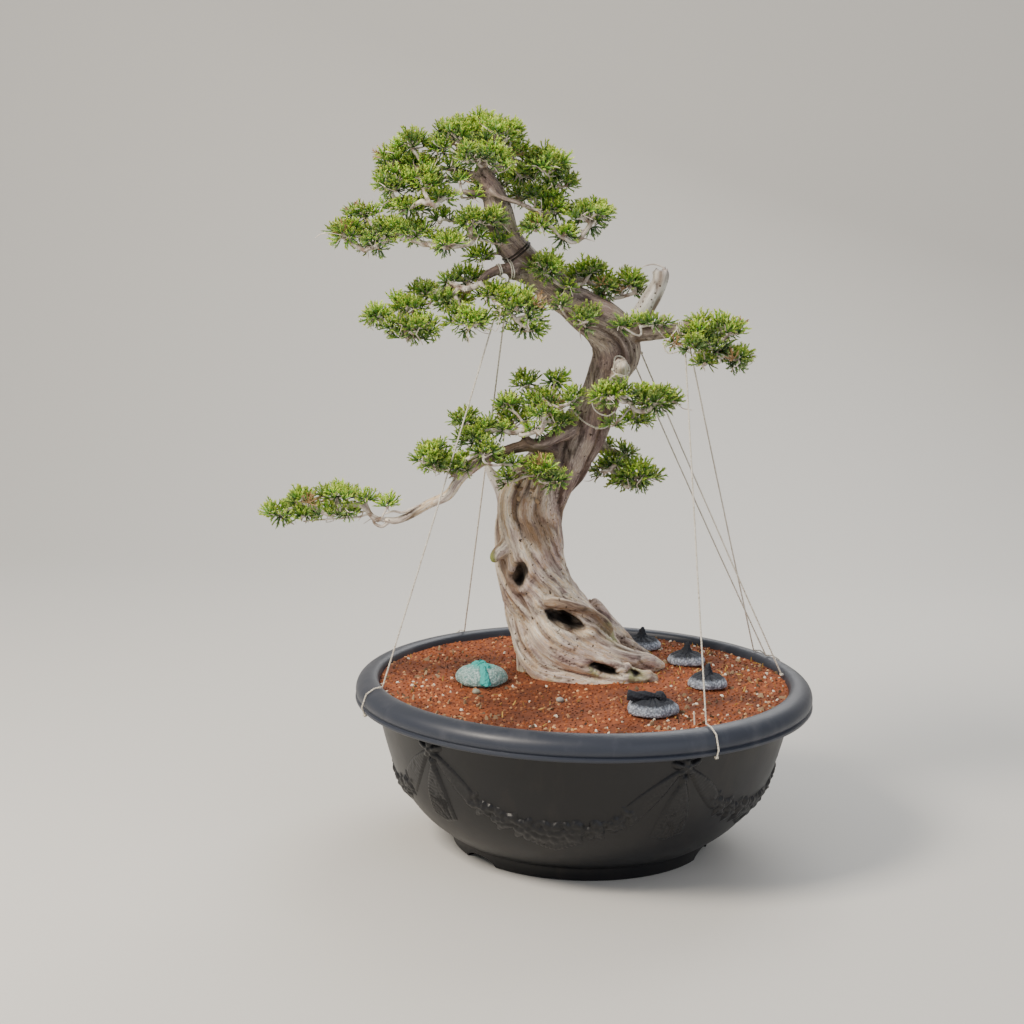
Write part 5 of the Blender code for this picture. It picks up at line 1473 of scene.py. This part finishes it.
# Each tie: a point on the wood's axis, the axis, how far its front hangs, how far it may reach,
# and its turns along the axis
TIES = (
    ("trunk_tie", (7.9, 21.2, 494.8), (0.3, 0.0, 1.0), 18.0, 36.0, (0.0,), string, "guy_string"),
    ("stub_tie", (32.7, -17.5, 544.3), (0.0, -0.9, 0.5), 0.0, 20.0, (0.0,), string, "guy_string"),
    ("upper_wire", (-84.2, -7.6, 672.1), (-0.6, -0.2, 0.8), 0.0, 26.0, (-1.6, 1.6), wire, "tie_wire"),
)
for name, centre, axis, drop, reach, shifts, look, slot in TIES:
    loops = []
    for shift in shifts:
        loop = loop_round(np.array(centre) + shift * np.array(axis), axis, reach, drop, 1.1)
        loops.append(rod(loop, 1.0, 8))
    if look is string:
        loops.append(knot_shape(loop[12], 1.8))
    tie = solid(name + "_loops", *joined(loops), look)
    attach(tie, "root")
    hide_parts(name)


# Dead twigs, loose string and dried flakes
# Thin bare twigs run along the long branch and stick out of the white stump. Spare turns of
# string hang at the front stub and the right branch. Dried leaves and bark lie in the low fork.
BARE_TWIGS = (
    ((-160, -53, 407, 1.6), (-174, -56, 398, 1.5), (-189, -60, 393, 1.4), (-203, -62, 387, 1.3),
     (-213, -62, 388, 1.2), (-222, -62, 385, 0.9)),
    ((-228, -59, 379, 1.5), (-240, -62, 384, 1.3), (-252, -64, 381, 1.2), (-274, -66, 379, 1.1),
     (-296, -66, 377, 0.9), (-312, -66, 375, 0.7)),
    ((-219, -58, 375, 2.0), (-226, -58, 370, 1.8), (-234, -58, 373, 1.6), (-236, -59, 379, 1.3)),
    ((80, 2, 651, 1.4), (76, 0, 657, 1.1), (66, -3, 660, 0.9), (54, -8, 658, 0.7)),
)
SPARE_STRING = (
    ((41, -30, 527), (37, -34, 538), (27, -37, 541), (18, -37, 532), (15, -38, 518), (7, -38, 519),
     (2, -34, 510), (7, -29, 499), (19, -25, 494), (28, -24, 499)),
    ((95, -24, 594), (84, -28, 580), (79, -30, 572), (85, -30, 565), (100, -28, 568), (109, -26, 565)),
)
FLAKES = 18
twigs = solid("bare_twigs", *joined([tube(rounded(rows, 6), 8)[:2] for rows in BARE_TWIGS]), twig)
turns = [rod(rounded(places, 9), 0.85, 7) for places in SPARE_STRING]
spare = solid("spare_string", *joined(turns), string)
chance = random.Random(71)
flakes, flake_tints = [], []
while len(flakes) < FLAKES:
    x, z = chance.uniform(-84, -52), chance.uniform(392, 440)
    hit = wood_surface.ray_cast(Vector((x, -300, z)), Vector((0, 1, 0)))[0]
    if hit is None:
        continue
    halves = (chance.uniform(2.5, 5.0), chance.uniform(0.8, 1.4), chance.uniform(1.3, 2.6))
    flakes.append(egg((x, hit[1] - 1.2, z), halves, chance.uniform(0, 180), 2))
    flake_tints += [chance.uniform(0.35, 1.0)] * len(flakes[-1][0])
flakes = solid("dried_flakes", *joined(flakes), bark_chip, {"tint": flake_tints})
for piece, slot in ((twigs, "juniper_wood"), (spare, "guy_string"), (flakes, "juniper_wood")):
    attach(piece, "root")


# Pebbles and stem
# Two smooth pebbles, rounded by a river, lie on the soil in front of the tree, and a thin dried
# stem stands in it. Nothing holds the pebbles.
PEBBLES = (
    ((-119, -67, 187.5), (4.6, 3.8, 3.4), "5d6a4c"),
    ((-25.5, -91, 187.3), (4.4, 3.6, 3.2), "77797a"),
)
STEM = ((118.5, -168, 184, 1.0), (118.0, -168, 192, 0.8), (117.2, -168, 200, 0.6))


def pebble_shape(centre, halves):
    """Points and faces of a smooth, slightly uneven stone."""
    body = bmesh.new()
    bmesh.ops.create_icosphere(body, subdivisions=3, radius=1.0)
    points = [tuple(c * h * (1 + 0.06 * math.sin(5 * c + 2)) + m for c, h, m in zip(v.co, halves, centre))
              for v in body.verts]
    faces = [tuple(v.index for v in face.verts) for face in body.faces]
    body.free()
    return points, faces


for centre, halves, colour in PEBBLES:
    # River stone: worn smooth, so it shines a little, with pale cloudy veins.
    stone = Look("river_pebble", Roughness=0.55)
    stone.drive("Base Color", stone.mixed(stone.noise(300.0, 3.0), colour, "b9b3a6"))
    pebble = solid("pebble", *pebble_shape(centre, halves), stone)
    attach(pebble, "root")
points, faces = tube(rounded(STEM, 4), 8)[:2]
stem = solid("thin_stem", points, faces, pumice, {"tint": np.ones(len(points))})
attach(stem, "root")


# Feed pouches
# Bags of fine netting, each filled with feed grains, flattened on the soil, gathered at the top
# and knotted. One is teal with a hanging tail, the others are pale grey with dark tops.
POUCHES = (
    ("feed_pouch_teal", (-115.8, -22.4), (30.0, 27.0), 22.0, "tail"),
    ("feed_pouch_front", (74.2, -129.3), (29.0, 26.0), 18.0, "flat"),
    ("feed_pouch_right", (139.6, -10.5), (23.0, 22.0), 16.0, "peak"),
    ("feed_pouch_back_right", (120.8, 94.4), (23.0, 22.0), 15.0, "peak"),
    ("feed_pouch_back", (69.3, 165.7), (25.0, 23.0), 15.0, "peak"),
)
POUCH_SIDES = 90
ABOVE_THE_SOIL = 0.6
# The knots at the top of each kind: lines of place and width from the pouch's top, the shares
# of that width across and through, and the number of folds
POUCH_TOPS = {
    "tail": (
        (((0, 0, -2, 4.0), (0, 0, 1, 3.2), (1, -1, 3, 4.0), (1, -1, 4.2, 1.5)), 1.0, 1.0, 7),
        (((0, 0, 1, 2.0), (-5, 2, 1, 3.4), (-9, 3, -1, 3.6), (-11, 3, -2.5, 1.5)), 0.9, 0.7, 6),
        (((0, 0, 1, 2.0), (4, -5, 1, 3.2), (7, -9, -1, 3.4), (8, -11, -2.5, 1.5)), 0.9, 0.7, 6),
        (((0, 0, 1, 2.2), (2, -12, -0.5, 2.8), (4, -20, -6, 4.4), (6, -27, -15, 5.6), (6, -28, -18, 4.6)),
         1.0, 0.45, 6),
    ),
    "flat": (
        (((12, -3, -3, 4.0), (8, -3, 3, 4.6), (3, -4, 3, 2.4)), 1.0, 1.0, 7),
        (((5, -4, 3, 2.4), (-6, -6, 3.4, 5.2), (-17, -8, 3, 6.0), (-27, -9, 4, 6.6)), 0.4, 0.8, 5),
    ),
    "peak": (
        (((0, 0, -5, 15.0), (0, 0, -1.5, 10.0), (0.5, 0, 3, 5.6), (1, 0, 8, 3.6), (2, 0, 11, 1.4)),
         1.0, 0.8, 9),
    ),
}
POUCH_PROFILE = rounded(((0.80, 0.0), (0.96, 0.1), (1.0, 0.28), (0.95, 0.5), (0.8, 0.72), (0.55, 0.89),
                         (0.3, 0.98), (0.12, 1.04)), 7)


def netting(name, skin, gathered, knot_tone):
    """Thin knitted netting over grains: bumpy where it is full, dark and folded where gathered."""
    look = Look(name, Roughness=0.8)
    cells = look.add("ShaderNodeTexVoronoi", {"Scale": 430.0}, {"Vector": look.place()}).outputs["Distance"]
    # Painted shade: dips between the grains take the darker colour passed as gathered, and each cell darkens
    # towards its edges.
    full = look.mixed(look.value("grain_height"), gathered, skin)
    full = look.scaled(full, look.ranged(cells, 0.3, 0.72, 1.1, 0.55))
    ragged = look.maths("MULTIPLY_ADD", cells, 0.35, -0.08)
    share = look.maths("ADD", look.value("gathered"), ragged, clamp=True)
    look.drive("Base Color", look.mixed(share, full, knot_tone))
    look.bump(cells, 0.7, -0.0012)
    return look


teal_netting = netting("teal_netting", "b4cbc8", "86a8a5", "3fb5ae")
grey_netting = netting("grey_netting", "bcc5d3", "8790a1", "2a2e37")


def ribbon(rows, width, thick, folds):
    """A gathered strip of netting along a line, folded across its width."""
    line = rounded(rows, 8)
    way = units(np.gradient(line[:, :3], axis=0))
    side = units(np.cross(way, (0, 0, 1.0)))
    raised = np.cross(side, way)
    sides = 20
    points = []
    for i, row in enumerate(line):
        for k in range(sides):
            angle = 2 * math.pi * k / sides
            pleat = 1 + 0.22 * math.cos(folds * angle + 0.5 * i)
            spoke = width * math.cos(angle) * side[i] + thick * math.sin(angle) * raised[i]
            points.append(row[:3] + row[3] * pleat * spoke)
    return points, capped_faces(len(line), sides)


for number, (name, spot, halves, height, kind) in enumerate(POUCHES):
    rows_count = len(POUCH_PROFILE)
    angle = 2 * np.pi * np.arange(POUCH_SIDES) / POUCH_SIDES
    lobed = 1 + 0.05 * np.sin(3 * angle + number) + 0.03 * np.sin(5 * angle + 2 * number)
    low = SOIL_TOP + ABOVE_THE_SOIL
    body = np.stack([spot[0] + halves[0] * 0.96 * POUCH_PROFILE[:, :1] * np.cos(angle) * lobed,
                     spot[1] + halves[1] * 0.96 * POUCH_PROFILE[:, :1] * np.sin(angle) * lobed,
                     np.repeat(low + height * POUCH_PROFILE[:, 1:2], POUCH_SIDES, axis=1)],
                    axis=2).reshape(-1, 3)
    rise = np.repeat(POUCH_PROFILE[:, 1], POUCH_SIDES)
    grain = layered_noise(body / 2.6, 90 + number, 2)
    starts = 0.84 if kind == "tail" else 0.56
    gathered = np.clip((rise - starts) / 0.22, 0, 1) * (0.8 + 0.5 * layered_noise(body / 8.0, 95 + number))
    outward = units(body - np.array((spot[0], spot[1], SOIL_TOP + 0.2 * height)))
    around = np.tile(angle, rows_count)
    fold = np.cos(13 * around + 1.5 * np.sin(4 * around))
    raised_by = 1.5 * (grain - 0.5) * (1 - gathered * 0.7) + 0.9 * fold * np.clip(gathered, 0, 1)
    body += outward * raised_by[:, None]
    top = np.array((spot[0], spot[1], low + height, 0.0))
    knots = [ribbon(top + np.array(rows), *shape) for rows, *shape in POUCH_TOPS[kind]]
    points, faces = joined([(body, capped_faces(rows_count, POUCH_SIDES)), *knots])
    knotted = len(points) - len(body)
    look = teal_netting if kind == "tail" else grey_netting
    pouch = solid(name + "_netting", points, faces, look, {
        "gathered": np.concatenate([gathered, np.ones(knotted)]),
        "grain_height": np.concatenate([np.clip((grain - 0.2) * 2.2, 0, 1), np.zeros(knotted)])})
    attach(pouch, "root")
    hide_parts(name)
